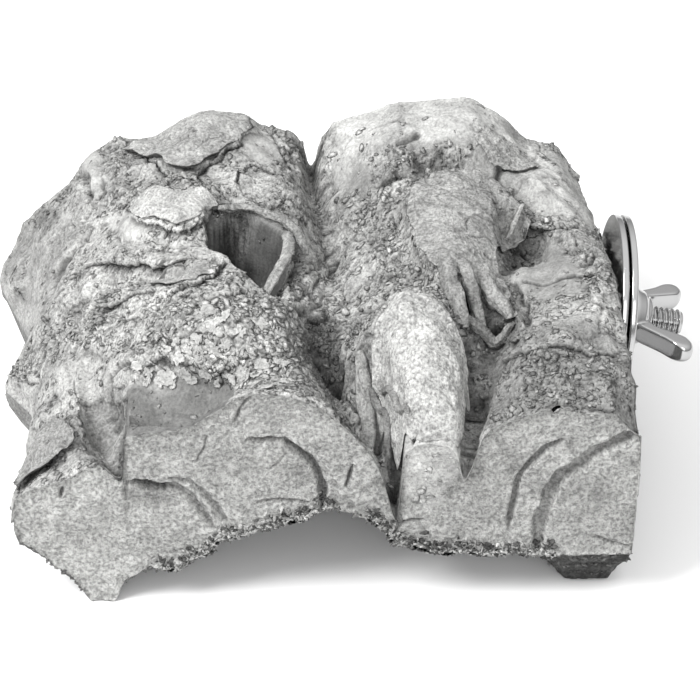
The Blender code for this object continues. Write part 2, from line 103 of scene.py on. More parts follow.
# Heights of the hollow underside, as (x, z)
UNDER_CUTS = {
    0: [(-75, 18), (-69, 12.5), (-62, 4.5), (-59, 0), (-54, 0), (-50.8, 5.9), (-47, 9.3),
        (-38, 10.5), (-32, 14.5), (-29, 18), (-21, 21), (-12, 24), (-5, 27.5), (2.7, 26),
        (6.5, 22.6), (10.6, 17.2), (24, 14.8), (41, 14.2), (63.6, 14.2)],
    8: [(-75, 16), (-69, 8), (-63, 1), (-61, 0), (-52, 0), (-48, 6), (-38, 11), (-29, 18),
        (-16, 23), (-3, 27), (6.5, 23), (14, 17), (28, 13.5), (40, 10), (47, 3), (50, 0), (59, 0),
        (63.4, 6)],
    20: [(-77, 13), (-70, 6), (-65, 1), (-61, 0), (-53, 0), (-48, 6), (-36, 13), (-22, 20.5),
        (-6, 26), (8, 23), (20, 17), (32, 12), (41, 6), (46, 0), (58, 0), (62.8, 5)],
    56: [(-82, 13), (-74, 7), (-66, 4), (-58, 5), (-50, 9.5), (-36, 16.5), (-20, 22.5), (-4, 25),
        (12, 22.5), (28, 17), (40, 11), (50, 6.5), (56, 5), (60.6, 9)],
    96: [(-85, 11), (-80, 3), (-77, 0), (-66, 0), (-61, 5), (-50, 11), (-34, 18), (-16, 23),
        (0, 24), (16, 21), (30, 14), (39, 7), (44, 0), (53, 0), (57, 6)],
    112: [(-88, 10), (-80, 4), (-74, 2.5), (-66, 4), (-58, 8), (-48, 13), (-34, 18), (-16, 23),
        (0, 24.5), (16, 22), (30, 16), (42, 9), (50, 6), (55.5, 9)],
}
THINNEST = 7.0

# Forms that stand on the bark's top or go into it, as outlines of (x, y)
TONGUE = [(15.5, 37), (7, 35), (1, 28), (-1.5, 20), (3, 12), (9, 5), (12, -1), (24, -1), (26.5, 6),
          (28, 14), (26.5, 23), (22, 31)]
HAND_PLATE = [(12, 75), (13, 62), (15.5, 52), (18.5, 43.5), (26, 41), (33, 36), (39, 30), (38, 42),
              (35, 50), (35, 59), (43.5, 72), (37, 80), (27, 84), (18, 83)]
CROWN_PLATE = [(-53, 72), (-48, 66.5), (-40, 62), (-34, 66), (-31, 71), (-33, 80), (-42, 84),
               (-51, 81)]
BACK_PLATE = [(-58, 96), (-47, 89), (-41, 93), (-32, 96), (-24, 103), (-23, 115), (-60, 115)]
HOLLOW = [(-33, 69), (-26, 72), (-14.5, 65), (-15.5, 54), (-18, 43), (-22.5, 48), (-28, 56),
          (-32.5, 62)]
SIDE_POCKET = [(34.5, 71), (41, 73), (46, 70), (45, 60), (38, 57), (35, 61)]
SHOULDER_DIP = [(-51, 14), (-46, 6), (-36, 4), (-27, 8), (-24, 15), (-33, 20), (-44, 21)]
# Smooth pads on the top, which have their own tone too, as outlines of (x, y)
CROWN_SIDE = [(-58.4, 81.2), (-52.7, 74.4), (-48.9, 67.4), (-49.4, 65.2), (-53.8, 67.9),
              (-57.8, 75.7)]
LEFT_RIB = [(-66.5, 112), (-63, 112), (-61.8, 105.1), (-60.1, 89), (-62, 87.4), (-64.8, 95.7),
            (-67.2, 106.4)]
BACK_PAD = [(-26.8, 100.9), (-21.7, 109.1), (-17.3, 106.3), (-16.1, 99.2), (-19.8, 92.2),
            (-24.7, 92.8)]
VALLEY_PAD = [(-4.9, 102.1), (0, 98), (4.4, 91.4), (4.3, 85.8), (0, 87.9), (-4.4, 93.9)]
SIDE_SLAB = [(37, 60), (46, 66), (53, 52), (52, 37), (43, 42), (38, 50)]
# What the forms add to the top's height, as (height, softness of the edge, outline)
FORMS = [(3.2, 2.0, TONGUE), (3.0, 2.2, HAND_PLATE), (3.5, 7.0, CROWN_PLATE),
         (2.2, 4.0, BACK_PLATE), (-17.0, 2.6, HOLLOW), (-6.5, 3.0, SIDE_POCKET),
         (-3.0, 5.0, SHOULDER_DIP)]
# Lumps on the top, as (x, y, radius across, radius along, height)
LUMPS = [(-66, 108, 9, 6, 2.5), (-60, 92, 6, 7, 3.0), (-73, 96, 7, 8, 2.5), (-70, 62, 8, 8, 2.5),
         (-62, 40, 7, 8, 2.5), (-50, 24, 5, 5, 2.5), (-38, 32, 7, 6, 2.0), (-22, 30, 8, 7, 2.0),
         (-12, 84, 6, 9, 2.5), (-36, 104, 9, 7, 2.0), (8, 96, 9, 8, 2.5), (26, 100, 9, 8, 2.0),
         (47, 88, 7, 8, 3.0), (52, 66, 6, 8, 2.0), (44, 22, 8, 9, 2.0), (55, 38, 6, 9, 2.0),
         (-64.5, 100, 3.4, 8, 4.6), (4, 62, 6, 6, 2.0), (-63, 14, 6, 5, 2.0), (-69, 78, 6, 6, 2.5),
         (36, 14, 5, 8, 2.0)]
# Grooves in the top, as (half width, depth, path)
GROOVES = [
    (2.4, 6.0, [(10.5, -1), (8, 8), (4, 17), (-2, 25), (-6, 33)]),
    (2.6, 4.0, [(-52, 3), (-54, 12), (-58, 22), (-60, 33)]),
    (2.6, 4.0, [(26, -1), (28, 10), (31, 22), (33, 33)]),
    (2.6, 3.5, [(-63, 54), (-55, 57), (-48, 52), (-40, 49)]),
    (2.8, 3.5, [(18, 88), (28, 90), (38, 87), (46, 80)]),
    (2.6, 3.0, [(-10, 112), (-9, 96), (-6, 80), (-3, 66)]),
]
# Height of the small swell all over the top
SWELL = 0.9

# Finer cracks in the crust, as (half width, depth, path of (x, y))
CRUST_CRACKS = [
    (0.5, 1.8, [(-55.2, 24.8), (-54.6, 26.3), (-53.2, 27.1), (-51.3, 25.5), (-48.8, 22.3)]),
    (0.9, 1.4, [(-63.3, 79.3), (-64.7, 75.2), (-66.6, 74.1), (-69.2, 73.8), (-71.2, 72.3),
        (-71.8, 67.6)]),
    (0.6, 1.5, [(-68, 107.1), (-66.5, 101.1), (-64.8, 95.7), (-63.1, 88.2)]),
    (0.5, 1.0, [(-60.4, 92.9), (-59.5, 88), (-61.5, 87.2)]),
    (1.1, 2.8, [(22.5, 32.7), (23.5, 28.9), (25.4, 27.8), (27, 26.7), (27.9, 24.1), (28.3, 20.2),
        (27.7, 14.8), (26.1, 7.7), (25.6, 4.7)]),
    (1.6, 4.0, [(27.2, 27.6), (28.2, 25.6)]),
    (1.3, 4.0, [(8.6, 13.5), (8.9, 11.5), (9.8, 8), (10.2, 4.2)]),
    (0.5, 2.0, [(12.1, 7.4), (13.1, 4), (14.2, 1)]),
    (0.5, 2.2, [(17.8, 12.8), (19.7, 10.3), (20.1, 8.5), (21.2, 8.1)]),
    (0.35, 0.8, [(15.5, 23.3), (13.7, 21.8), (12.2, 20.5), (8.9, 18.7)]),
    (0.8, 1.5, [(14.5, 32.5), (8.9, 33.0), (2.8, 35.5), (0, 34), (-2.3, 31), (-4.4, 25)]),
    (0.8, 2.5, [(27.1, 41), (27.8, 38.8), (29.3, 34.2)]),
    (0.8, 2.5, [(30.1, 40.7), (31.2, 38.4), (33, 36.2)]),
    (1.8, 3.0, [(33.4, 34.6), (35, 35.6)]),
    (0.5, 1.5, [(37.1, 51.2), (39.1, 46.2), (40.1, 39.3), (40, 32.3)]),
    (0.4, 1.0, [(-11.5, 42.9), (-7.5, 59.1), (-3.4, 71.4)]),
    (0.4, 1.0, [(-9.6, 40.2), (-5.2, 56), (0, 60.7)]),
    (0.4, 1.0, [(-12.5, 49.2), (-8.9, 61.9), (-4.8, 76.2)]),
    (0.4, 1.0, [(-5.5, 43.3), (-1.2, 52.1), (2.8, 54.7)]),
    (0.5, 1.0, [(-19.3, 109.3), (-16.7, 103.4), (-15.3, 96)]),
    (0.5, 1.0, [(-18.1, 110.8), (-14.8, 105.4), (-13, 101.9)]),
    (0.7, 1.8, [(11.6, 93.8), (14, 95.1), (16.7, 96.9)]),
    (0.9, 2.4, [(7.7, 84.3), (14, 85.5), (20, 84.5), (24.2, 85), (31.4, 84)]),
    (0.8, 1.8, [(32.2, 82), (36.2, 89.7), (44, 97)]),
    (0.7, 1.6, [(53.8, 51.8), (55.5, 54.1), (57.7, 57.8)]),
    (0.5, 1.5, [(25.4, 6), (29.5, 5.1), (32.2, 2.5), (35.4, 1.8), (39.1, 2.9), (42.3, 2.2),
        (50, 2.4), (60, 2)]),
    (0.9, 2.6, [(-11, 40), (-8, 43), (-5, 46)]),
    (0.8, 2.0, [(-9, 36), (-4, 30), (-1, 20)]),
    (0.6, 1.4, [(-55.5, 26), (-55.2, 20), (-53, 15)]),
    (0.9, 2.5, [(-11.8, 66), (-11.6, 60), (-12.6, 54), (-15, 47), (-17.5, 42.5)]),
]
# Ledges where the bark behind a line stands over the bark before it, as (height, how far back
# the rise reaches, path of (x, y) with the higher side on its left)
LEDGES = [
    (0.4, 5.0, [(-51.2, 70.9), (-49.9, 69), (-47.4, 66.4), (-44.5, 64.7), (-42.5, 63.3),
        (-40.1, 62.2), (-38.3, 63.3), (-36.5, 65.7), (-34.9, 67.2), (-33, 70.1), (-30.5, 73.2),
        (-27, 74.7), (-25.4, 75)]),
    (2.4, 7.0, [(-48.8, 97.1), (-46.3, 89.6), (-44.3, 87.6), (-41.4, 83.3), (-38.5, 81.7),
        (-36.7, 82.3), (-36.3, 86.6), (-34.7, 89.4), (-32.4, 91.4), (-31, 93.6), (-29.6, 96.6),
        (-27.8, 98.9)]),
    (1.3, 4.0, [(-62.2, 64.5), (-58.9, 63.5), (-56.3, 61), (-53.3, 59.3), (-49.4, 57.1),
        (-46.4, 54.2), (-44.5, 53.1), (-42.1, 53), (-38.6, 53.7)]),
    (1.6, 4.0, [(-39.5, 39), (-37.3, 40.7), (-34.2, 43.2), (-31.6, 46.1), (-29.9, 48.9),
        (-29.3, 52.6)]),
    (1.0, 3.0, [(-27.5, 83.2), (-27.3, 85.5), (-25.5, 89.2), (-22.9, 91.2), (-20.5, 89.1),
        (-18.3, 86.9)]),
    (1.0, 3.0, [(-58, 47), (-54, 45), (-49, 45.5), (-45, 43.5)]),
    (0.9, 3.0, [(-30, 36), (-25, 38.5), (-20, 37.5), (-16, 40)]),
    (0.9, 3.0, [(40, 50), (45, 47.5), (51, 48.5), (56, 46.5)]),
    (0.9, 3.0, [(34, 22), (39, 19.5), (46, 20.5), (53, 18.5), (58, 19.5)]),
    (0.9, 3.0, [(44, 72), (49, 70), (54, 71.5)]),
]
# Cracks in the sawn front, as (half width, depth, how dark the painted shade inside is, path of (x,
# z))
FACE_CRACKS = [
    (0.45, 1.2, 0.2, [(-52, 36.2), (-50, 35.6), (-47.5, 35.3)]),
    (1.1, 3.0, 0.5, [(-47.5, 35.0), (-44.3, 33.9), (-41.8, 32.6)]),
    (0.95, 1.3, 0.14, [(-41.8, 33.4), (-38.6, 33.6), (-35.8, 31.2), (-33.0, 27), (-30.8, 22.2)]),
    (0.75, 0.9, 0.1, [(-40.0, 36.0), (-35.6, 35.4), (-32.6, 32.2), (-30, 28.4), (-27.8, 24.2)]),
    (0.5, 1.4, 0.25, [(-22.5, 48), (-19.2, 47.1), (-14.4, 47.7)]),
    (0.85, 2.4, 0.25, [(-14.4, 47.7), (-12, 45.1), (-9.2, 42), (-7.3, 38.2), (-6.2, 34.4),
        (-5.8, 28.6)]),
    (1.2, 0.7, 0.03, [(-8.0, 41.5), (-5.6, 38.0), (-4.2, 34.0), (-3.4, 29.4)]),
    (0.35, 1.6, 0.3, [(0.4, 40.5), (-0.2, 38.2), (-0.9, 34.4)]),
    (0.4, 1.1, 0.3, [(-20.7, 29.5), (-16, 29.9), (-12.2, 29.7), (-9.3, 29.2)]),
    (0.6, 1.4, 0.16, [(46.3, 47.7), (43.1, 45.4), (40.6, 42.3), (37.8, 37.6), (36.8, 34.4),
        (36.5, 29.2), (35.4, 22)]),
    (1.35, 1.5, 0.15, [(63.4, 49.6), (59.4, 48), (56, 45.7), (53.3, 43.4), (49.7, 40.3),
        (46.8, 37.4), (44.8, 33.3), (43.6, 29.5), (42.5, 23.5), (42.1, 14)]),
    (0.5, 0.9, 0.4, [(16.3, 24.5), (11.2, 24), (7.4, 23)]),
    (0.5, 1.6, 0.4, [(-63.8, 33.6), (-64.2, 30.9)]),
    (0.3, 0.9, 0.25, [(-31.4, 48.3), (-32, 45.4), (-33.8, 42)]),
    (0.35, 0.9, 0.2, [(-21.8, 59.5), (-23.8, 56.7), (-25.4, 52.5)]),
    (0.4, 0.9, 0.2, [(53.9, 19), (62.7, 16.4)]),
    (0.3, 0.8, 0.2, [(-14.0, 43.5), (-15.5, 41.0), (-17.5, 39.5)]),
]
# Shallow bowls in the sawn front, as (x, z, radius across, radius up, depth)
FACE_BOWLS = [(-43, 31, 6, 4, 1.6), (-10, 38, 5, 6, 0.8), (40, 36, 5, 7, 0.8), (-62, 20, 9, 7, 0.8),
              (22, 36, 6, 8, 0.7), (54, 30, 7, 9, 0.6)]
# Patches of the crust whose colour is multiplied by a tone, as (tone, softness of the edge, outline
# of (x, y)); the marked ones hold painted shade or painted light
TONE_AND_SHADE_PATCHES = [
    # painted shade in the hollow and on its right wall
    (0.075, 2.0, [(-33, 69), (-29, 71.5), (-24, 71), (-20, 66), (-19, 56), (-18, 43), (-22.5, 48),
        (-28, 56), (-32.5, 62)]),
    (0.26, 1.5, [(-24, 71), (-20, 70.5), (-15, 66.7), (-15, 54), (-18, 43), (-20, 56), (-20, 66)]),
    (1.45, 1.2, [(8.2, 26.9), (15.6, 30.6), (22.2, 26), (25.6, 21.9), (27.3, 20.4), (25.4, 7.8),
        (25.2, -6), (14.6, -6), (13.4, 5), (12.5, 10.9), (8.9, 18.4), (5.6, 24.8)]),
    (1.35, 1.0, [(-51.6, 75.7), (-47.3, 75.2), (-41.3, 74.2), (-35.4, 74.8), (-32.3, 71.8),
        (-35.6, 67.2), (-37.9, 64), (-40.1, 62.3), (-42.8, 64.2), (-48.1, 67.5), (-51.2, 70.9)]),
    (1.15, 1.5, CROWN_SIDE),
    (1.25, 1.2, LEFT_RIB),
    (0.72, 3.0, [(-80, 111), (-73.2, 103.7), (-71.7, 90.4), (-78.8, 98)]),
    (1.15, 2.0, BACK_PAD),
    (0.88, 1.5, VALLEY_PAD),
    # a pale patch at the back right, lightened further as painted light where its slopes face away
    # from the key light
    (1.32, 4.0, [(-5, 113), (-6, 99), (3, 93), (14, 96), (30, 97), (38, 103), (38, 113)]),
    # painted shade: darker where the right part slopes down away from the light
    (0.72, 4.0, [(29.5, 33.4), (38.2, 30.1), (55.7, 28.4), (66, 24.1), (66, -6), (52.2, -6),
        (42.4, -6), (28.8, -6), (28.6, 12.3)]),
    # more of the back right: a pale patch, lightened further as painted light
    (1.5, 5.0, [(34.1, 100.8), (44.6, 107.9), (51.8, 102.4), (52.6, 85.5), (53.7, 77.3),
        (45.6, 81.5), (39.8, 87.5), (33.8, 91.5)]),
    (0.35, 1.5, [(7, 15.6), (10.4, 9.5), (11.8, 1.4), (11.1, -1), (9.0, 2), (7.0, 11.4)]),
    (0.6, 3.0, [(-1.2, 88.4), (3.6, 88), (12, 88.5), (21.7, 90.9), (25.3, 90.1), (31.4, 89.2),
        (31.3, 84.1), (24.8, 83.6), (16.5, 82.7), (8.4, 83.5)]),
    (0.75, 3.0, [(33.8, 90.5), (40.1, 95), (43.6, 91.4), (41, 86.3), (35.6, 79.5)]),
    (0.35, 1.5, [(-52, -6), (-51.5, 18), (-36, 20), (-26, 17), (-25, 10), (-28, -6)]),
    (0.92, 4.0, [(-12, 86), (-4, 98), (8, 84), (12, 72), (12, 57), (0, 62), (-9, 68)]),
    (0.5, 2.0, [(-10, 42), (-6, 48), (-2, 45), (-2, 36), (-1, 20), (-6, 16), (-9, 26), (-9, 36)]),
    (0.55, 2.0, [(28, 38), (32, 44), (38, 40), (38, 30), (31, 27), (27, 31)]),
    (0.6, 1.5, [(34.7, 57.9), (38.4, 70.3), (43.9, 76.3), (46.2, 70.9), (45.4, 68), (40.3, 62),
        (36.4, 58.5)]),
    (0.8, 3.0, SIDE_SLAB),
    (0.8, 3.0, [(-56, 30), (-52, 24), (-51, 10), (-52, -1), (-56, -1), (-60, 10), (-60, 24)]),
    (0.9, 5.0, [(-74, -6), (-74, 40), (-58, 40), (-54, 28), (-52, -6)]),
    (0.82, 4.0, [(12, 78), (13, 58), (20, 46), (34, 44), (36, 62), (44, 74), (34, 84)]),
    (0.35, 1.5, [(-68.5, 12.5), (-64, 9), (-63, 6), (-66, 4.5), (-69, 8)]),
    (0.88, 6.0, [(-92, 55), (-70, 55), (-67, 80), (-75, 104), (-92, 112)]),
    # painted shade on the hollow's back wall
    (0.7, 1.5, [(-35, 70.5), (-26, 74.2), (-13.6, 67.6), (-14, 60), (-18, 60), (-26, 68)]),
    (1.16, 8.0, [(-62, 12), (-12, 12), (-12, 40), (-34, 50), (-38, 64), (-62, 66), (-66, 40)]),
]
# Patches where the crust is smoother, as (how much, softness of the edge, outline of (x, y))
SMOOTH_PATCHES = [
    (1.0, 2.5, [(-50, -1), (-51, 18), (-44, 20), (-36, 19.5), (-26, 15), (-24, 8), (-27, -1)]),
    (1.0, 3.0, SIDE_SLAB),
    (1.0, 2.0, [(-33, 70), (-20, 72), (-14, 67), (-15, 54), (-18, 42), (-26, 52), (-33, 62)]),
    (1.0, 1.5, CROWN_SIDE),
    (1.0, 2.0, BACK_PAD),
    (1.0, 1.5, VALLEY_PAD),
    (1.0, 1.5, LEFT_RIB),
    (0.75, 6.0, [(28, 88), (34, 110), (60, 108), (60, 76), (46, 78), (38, 86)]),
    (0.8, 5.0, [(-5, 114), (-5, 96), (10, 92), (30, 94), (44, 100), (42, 114)]),
    (0.4, 6.0, [(30, 34), (44, 34), (64, 32), (64, -4), (30, -4)]),
    (0.45, 4.0, [(8, 28), (22, 28), (27, 20), (26, -4), (10, -4), (6, 16)]),
    (0.5, 6.0, [(-88, 60), (-70, 60), (-66, 84), (-76, 112), (-92, 112)]),
    (0.3, 6.0, [(-60, 90), (-48, 114), (-20, 114), (-16, 96), (-34, 84)]),
    (0.3, 4.0, [(-76, -2), (-52, -2), (-54, 28), (-60, 40), (-78, 40)]),
]
# The rounded front of the tongue: between these x, how far back it reaches and how far down
NOSE_LEFT, NOSE_RIGHT = 11.5, 25.0
NOSE_REACH, NOSE_DROP = 8.0, 6.0

# Loose plates that overhang the crust, as outlines of (x, y) round a centre, with the height of their
# middle and of their rim above the crust, how far they tip towards the front, their thickness, their
# tone and, where it is not the usual one, the share of it underneath, which is painted shade
PLATES = {
    "crown_plate": dict(outline=[(-51.8, 76.2), (-52.2, 73), (-51.2, 70.9), (-48.1, 67.5),
        (-45.3, 65.6), (-42.8, 64.2), (-41.2, 62.6), (-40.1, 62.3), (-38.8, 63), (-37.9, 64),
        (-36, 66.5), (-34.1, 69), (-31.8, 71.8), (-31.5, 74), (-34, 75.8), (-38, 75), (-42, 75.2),
        (-46, 76.4)], centre=(-42, 70.5), middle=0.3, rim=1.3, tip=0.12, thick=0.9, tone=1.3),
    "back_plate": dict(outline=[(-51, 98), (-47, 91.5), (-43.5, 88), (-41, 84.8), (-38.5, 83.2),
        (-36.8, 85), (-35.5, 89), (-32.5, 91.5), (-30.5, 95), (-27.5, 98.5), (-24.5, 104),
        (-26, 110.5), (-38, 112), (-52, 111), (-56, 104)], centre=(-40, 99), middle=0.3, rim=1.7,
        tip=0.06, thick=1.2, tone=1.1),
    "tongue": dict(outline=[(15.5, 33.5), (11, 32.5), (7.5, 29), (5, 24.5), (4.6, 19), (6.5, 13.5),
        (9.6, 8), (11.2, 3.5), (13.2, 1.4), (16.5, 0.7), (20.5, 0.6), (23.6, 1.2), (24.6, 5),
        (25.8, 10), (26.8, 15), (26.2, 20), (24, 25), (20.5, 30)], centre=(16, 17), middle=1.6,
        rim=0.2, tip=0.0, thick=1.2, below_shade=0.95, tone=1.33),
    "hand_plate": dict(outline=[(14, 74.5), (13.5, 66), (15, 58), (16.5, 51), (19, 46),
        (23.5, 44.5), (28, 44), (33, 41), (36.5, 38), (36.8, 44), (34.5, 50), (33.6, 56),
        (35.4, 62), (40, 69), (43, 73), (40, 78), (34, 81), (27, 82.5), (19, 81)],
        centre=(25.5, 61), middle=1.0, rim=0.3, tip=0.02, thick=1.0, tone=0.95),
    "left_flap": dict(outline=[(-75.8, 8.5), (-74.8, 5), (-72.2, 4.2), (-69, 5.6), (-66, 7.2),
        (-63, 8), (-61.5, 10.5), (-62.5, 15), (-64.5, 20), (-68, 24), (-71, 23), (-73.6, 18),
        (-75.4, 12.5)], centre=(-68, 14), middle=0.9, rim=0.7, tip=0.1, thick=1.0, tone=0.85),
    "shoulder_flake": dict(outline=[(-47, 47), (-42, 43.5), (-35.5, 43), (-31, 46.5), (-33, 51),
        (-40, 52.5), (-46, 51)], centre=(-39, 48), middle=0.3, rim=0.3, tip=0.08, thick=0.6,
        tone=1.0),
    "ridge_flake": dict(outline=[(30, 96), (33, 91), (39, 89.5), (45, 92), (46, 98), (41, 103),
        (33, 102)], centre=(38, 96), middle=0.6, rim=0.4, tip=0.1, thick=0.8, tone=1.02),
}
ON_GROUND = 20
# Strands and rims of torn bark, as (points, the radius at each, tone). A point's third number is
# its height above the crust, or above the ground where the strand's first is over ON_GROUND.
STRANDS = [
    ([(-15.6, 64.8, 56.6), (-14.6, 62.5, 57.6), (-14.2, 59.2, 58.2), (-14.9, 54.4, 58.0),
        (-16.6, 49.7, 57.2), (-18.8, 44.9, 56.0), (-20.0, 42.0, 54.0)],
        [0.5, 1.05, 1.2, 1.15, 1.1, 1.0, 0.7], 1.25),
    ([(-31.0, 71.8, 0.6), (-27.5, 73.5, 1.0), (-24.0, 72.8, 1.2), (-20.1, 71.4, 1.4),
        (-15.5, 69.5, 1.4), (-12.0, 68.0, 1.2), (-10.4, 65.0, 0.4)],
        [0.6, 0.9, 0.9, 1.0, 1.1, 1.0, 0.6], 1.1),
    ([(2.2, 25, 0.5), (3.0, 20.5, 2.4), (3.9, 15.5, 3.0), (4.2, 10.5, 2.0), (4.4, 7, 0.2)],
        [0.8, 1.6, 1.8, 1.5, 0.7], 1.2),
    ([(21.5, 48, 0.2), (22.4, 43, 0.9), (23.8, 38, 1.2), (25.4, 33.5, 0.7), (26.0, 31, 0.0)],
        [1.4, 2.0, 1.9, 1.5, 0.8], 1.0),
    ([(25.4, 48, 0.2), (26.8, 43, 0.9), (28.4, 39, 1.1), (29.8, 35.5, 0.5), (30.4, 34, 0.0)],
        [1.3, 1.8, 1.6, 1.2, 0.7], 1.0),
    ([(29.6, 48, 0.2), (31.4, 43.5, 0.9), (33.4, 39.4, 1.0), (35.6, 35, 0.4), (36.2, 33.5, 0.0)],
        [1.3, 1.9, 1.8, 1.4, 0.8], 1.05),
    ([(24.0, 33.5, 0.0), (28.2, 33.2, 0.7), (32.5, 33.0, 0.7), (36.5, 32.4, 0.0)],
        [0.8, 1.2, 1.2, 0.7], 0.9),
    ([(37.0, 69, 0.6), (38.8, 71.4, 2.6), (41.6, 74.6, 1.6)], [0.35, 0.5, 0.3], 1.3),
    ([(8.6, 6.5, 1.0), (8.2, 11, 2.6), (6.4, 16.5, 2.6), (3.8, 20.5, 0.6)], [0.5, 0.9, 0.9, 0.5],
        0.75),
    ([(12.6, 3.5, 0.6), (11.2, 8, 1.4), (9.0, 13, 1.6), (7.2, 17.5, 0.4)], [0.5, 0.9, 1.0, 0.5],
        0.95),
]
# The largest lichen discs, as (x, y, radius), and their section from the middle out and under:
# share of the radius, height and tone
DISCS = [(-41.1, 21.5, 2.2), (-40.2, 20.1, 1.8), (-45.6, 20.6, 1.1), (-47.7, 23.0, 1.3),
         (-36.8, 20.6, 1.3), (-38.2, 22.0, 1.3), (-32.1, 19.3, 1.8), (-38.7, 24.6, 1.3),
         (-35.9, 22.7, 1.3), (-45.4, 22.2, 1.1), (-43.2, 24.0, 0.9), (-17.8, 22.0, 2.0),
         (-19.9, 16.8, 1.8), (-23.1, 12.8, 1.6), (-24.4, 23.5, 1.8), (-32.4, 28.7, 2.2),
         (-18.4, 4.1, 1.8), (-34.3, 24.2, 1.3), (-30.7, 21.6, 1.6), (-28.5, 19.3, 1.6),
         (-27.1, 22.0, 1.3), (-22.1, 19.0, 1.3), (-30.1, 24.7, 1.6), (-33.9, 20.9, 1.3),
         (-26.2, 16.7, 1.3), (-20.9, 12.5, 1.1), (-15.0, 16.2, 1.3), (-14.0, 9.5, 1.3),
         (-42.5, 20.1, 1.1), (-35.0, 19.1, 1.1), (-29.4, 17.3, 1.1), (-44.8, 23.6, 1.1),
         (-40.9, 23.6, 1.1), (-15.6, 25.6, 1.3), (-19.6, 26.4, 1.3), (-27.9, 26.4, 1.3)]
# Where the small lichen scales are thickest
LICHEN_CLUSTER = [(-48, 19), (-40, 17), (-33, 16), (-24, 11), (-16, 12), (-10, 18), (-9, 30),
                  (-14, 36), (-26, 33), (-38, 32), (-46, 28)]
DISC_SHARES = np.array([0.1, 0.4, 0.7, 0.9, 1.0, 0.97, 0.6])
DISC_HEIGHTS = np.array([-0.05, -0.03, 0.04, 0.1, -0.05, -0.2, -0.5])
DISC_TONES = np.array([0.92, 0.97, 1.0, 1.06, 0.9, 0.35, 0.3])
DISC_SIDES = 40

# The relief of the crust. Its plates come at three sizes, as (size, step from plate to plate,
# tip, crack depth, crack width, seed).
CRUST_PLATES = ((11.0, 0.7, 0.35, 0.8, 0.045, 51), (4.6, 0.4, 0.3, 0.6, 0.08, 57),
                (2.3, 0.3, 0.25, 0.45, 0.13, 63))
LEDGE_RISE, LEDGE_LEAN, PLATE_LEAN = 0.5, 0.55, 0.5
PIT_DEPTH, RAGGED_HEIGHT, GRIT_HEIGHT = 0.9, 0.25, 0.4
CRUST_INSET, LEAST_CRUST = 0.35, 5.5
# The relief of the sawn faces
TORN_HEIGHT, CURD_DEPTH, PORE_DEPTH, CRUMB_DEPTH = 0.42, 0.3, 0.9, 1.2
SAWN_INSET, SAWN_SWELL = 0.3, 0.35
# How wide the section's crumbled edges are, the fade beside the fissure and the right end's
EDGE_WIDTH, SEAM_WIDTH, END_FADE = 1.4, 2.5, 3.0
END_START = 57.0
# Reach in cells and height of the hollows that get painted shade, and how much on each kind of face
HOLLOW_SHADE_SCALES = ((1, 0.25), (3, 0.5), (8, 0.9))
# (sawn front, top, sawn back, underside)
HOLLOW_SHADE_STRENGTHS = (0.1, 0.26, 0.1, 0.3)
DARKEST, LIGHTEST = 0.04, 2.1

# How finely the slab's two halves are meshed: columns across each, and rows round the section
LEFT_COLUMNS = 259
RIGHT_COLUMNS = 176
TOP_ROWS = 232
UNDER_ROWS = 38
FACE_ROWS = 86
BACK_ROWS = 20
END_RINGS = 6
# The room that every piece of the slab stays in
LOWEST_CORNER = np.array([-89.3, 0.0, 0.0])
HIGHEST_CORNER = np.array([200.0, 113.4, 65.7])

# The clamp
STUD_DROOP = math.radians(10.0)
WASHER_DROOP = math.radians(4.5)
WASHER_YAW = math.radians(1.5)
WASHER_CENTRE = (60.3, 53.7, 44.8)
# How far the stud sits off the washers' middle, and the way to the middle from it
WASHER_PLAY = 1.9
PLAY_WAY = (0.0, 0.62, 0.79)
TOUCHING_GAP = 0.3
SEAT_RADIUS = 26.0
SEAT_FADE = 4.0
THREAD_PITCH = 1.27
THREAD_DEPTH = 0.5
# The wood screw's pitch, the radius of its core and how far its thread stands out
WOOD_PITCH, WOOD_CORE, WOOD_DEPTH = 3.0, 2.3, 0.8
STUD_OUT = 17.8
STUD_IN = 24.0
NUT_START = 4.7
NUT_HEIGHT = 5.6
NUT_BASE = 7.0
NUT_TOP = 5.2
NUT_BORE = 3.35
NUT_TURN = math.radians(-5.0)
WING_SPREAD = 14.4
WING_RISE = 14.6
WING_THICKNESS = 4.7
CAST_DETAIL = 0.2

# The photo's view: where it was taken from in millimetres, how far it looks down, and its lens
EYE = (0.0, -469.597, 440.099)
LOOK_DOWN = math.radians(38.0)
LENS_MM = 144.0
SENSOR_MM = 36.0

# The lights: where each stands, its side in metres and its power in watts
KEY_LIGHT = ("key light", (-0.5, -0.3, 0.75), 0.35, 10.0)
FRONT_LIGHT = ("front light", (0.1, -0.9, 0.5), 0.5, 2.5)
LIT_POINT = (0, 0, 0.03)
# The sky's strength, from low to high directions
SKY_HEIGHTS, SKY_STRENGTHS = (0.05, 0.85), (0.42, 1.4)

# The bark finishes: the bump's depth in metres, and how many grains and cells there are to a
# metre; "cracked" is how dark the hair cracks get and "speck" how light the darkest specks are
BARK_FINISHES = {
    "crust": dict(name="cork crust", bump=0.00045, grain=1500.0, cells=420.0, cracked=0.24,
                  speck=0.46),
    "sawn": dict(name="sawn cork", bump=0.0017, grain=1200.0, cells=300.0, cracked=0.0,
                 speck=0.56, speck_range=(0.38, 0.58)),
    "under": dict(name="cork underside", bump=0.0006, grain=1300.0, cells=420.0, cracked=0.5,
                  speck=0.5),
    "lichen": dict(name="pale lichen", bump=0.0004, grain=1500.0, cells=500.0, cracked=0.3,
                   speck=0.65),
}
STEEL_ROUGHNESS = 0.15

# A dressed half of the slab on its grid: points, normals, kinds of surface, shades (tone with painted
# shade), and how smooth the crust is
Half = namedtuple("Half", "points normals kind shade calm")
CRUST, SAWN_FRONT, SAWN_BACK, UNDERSIDE = range(4)


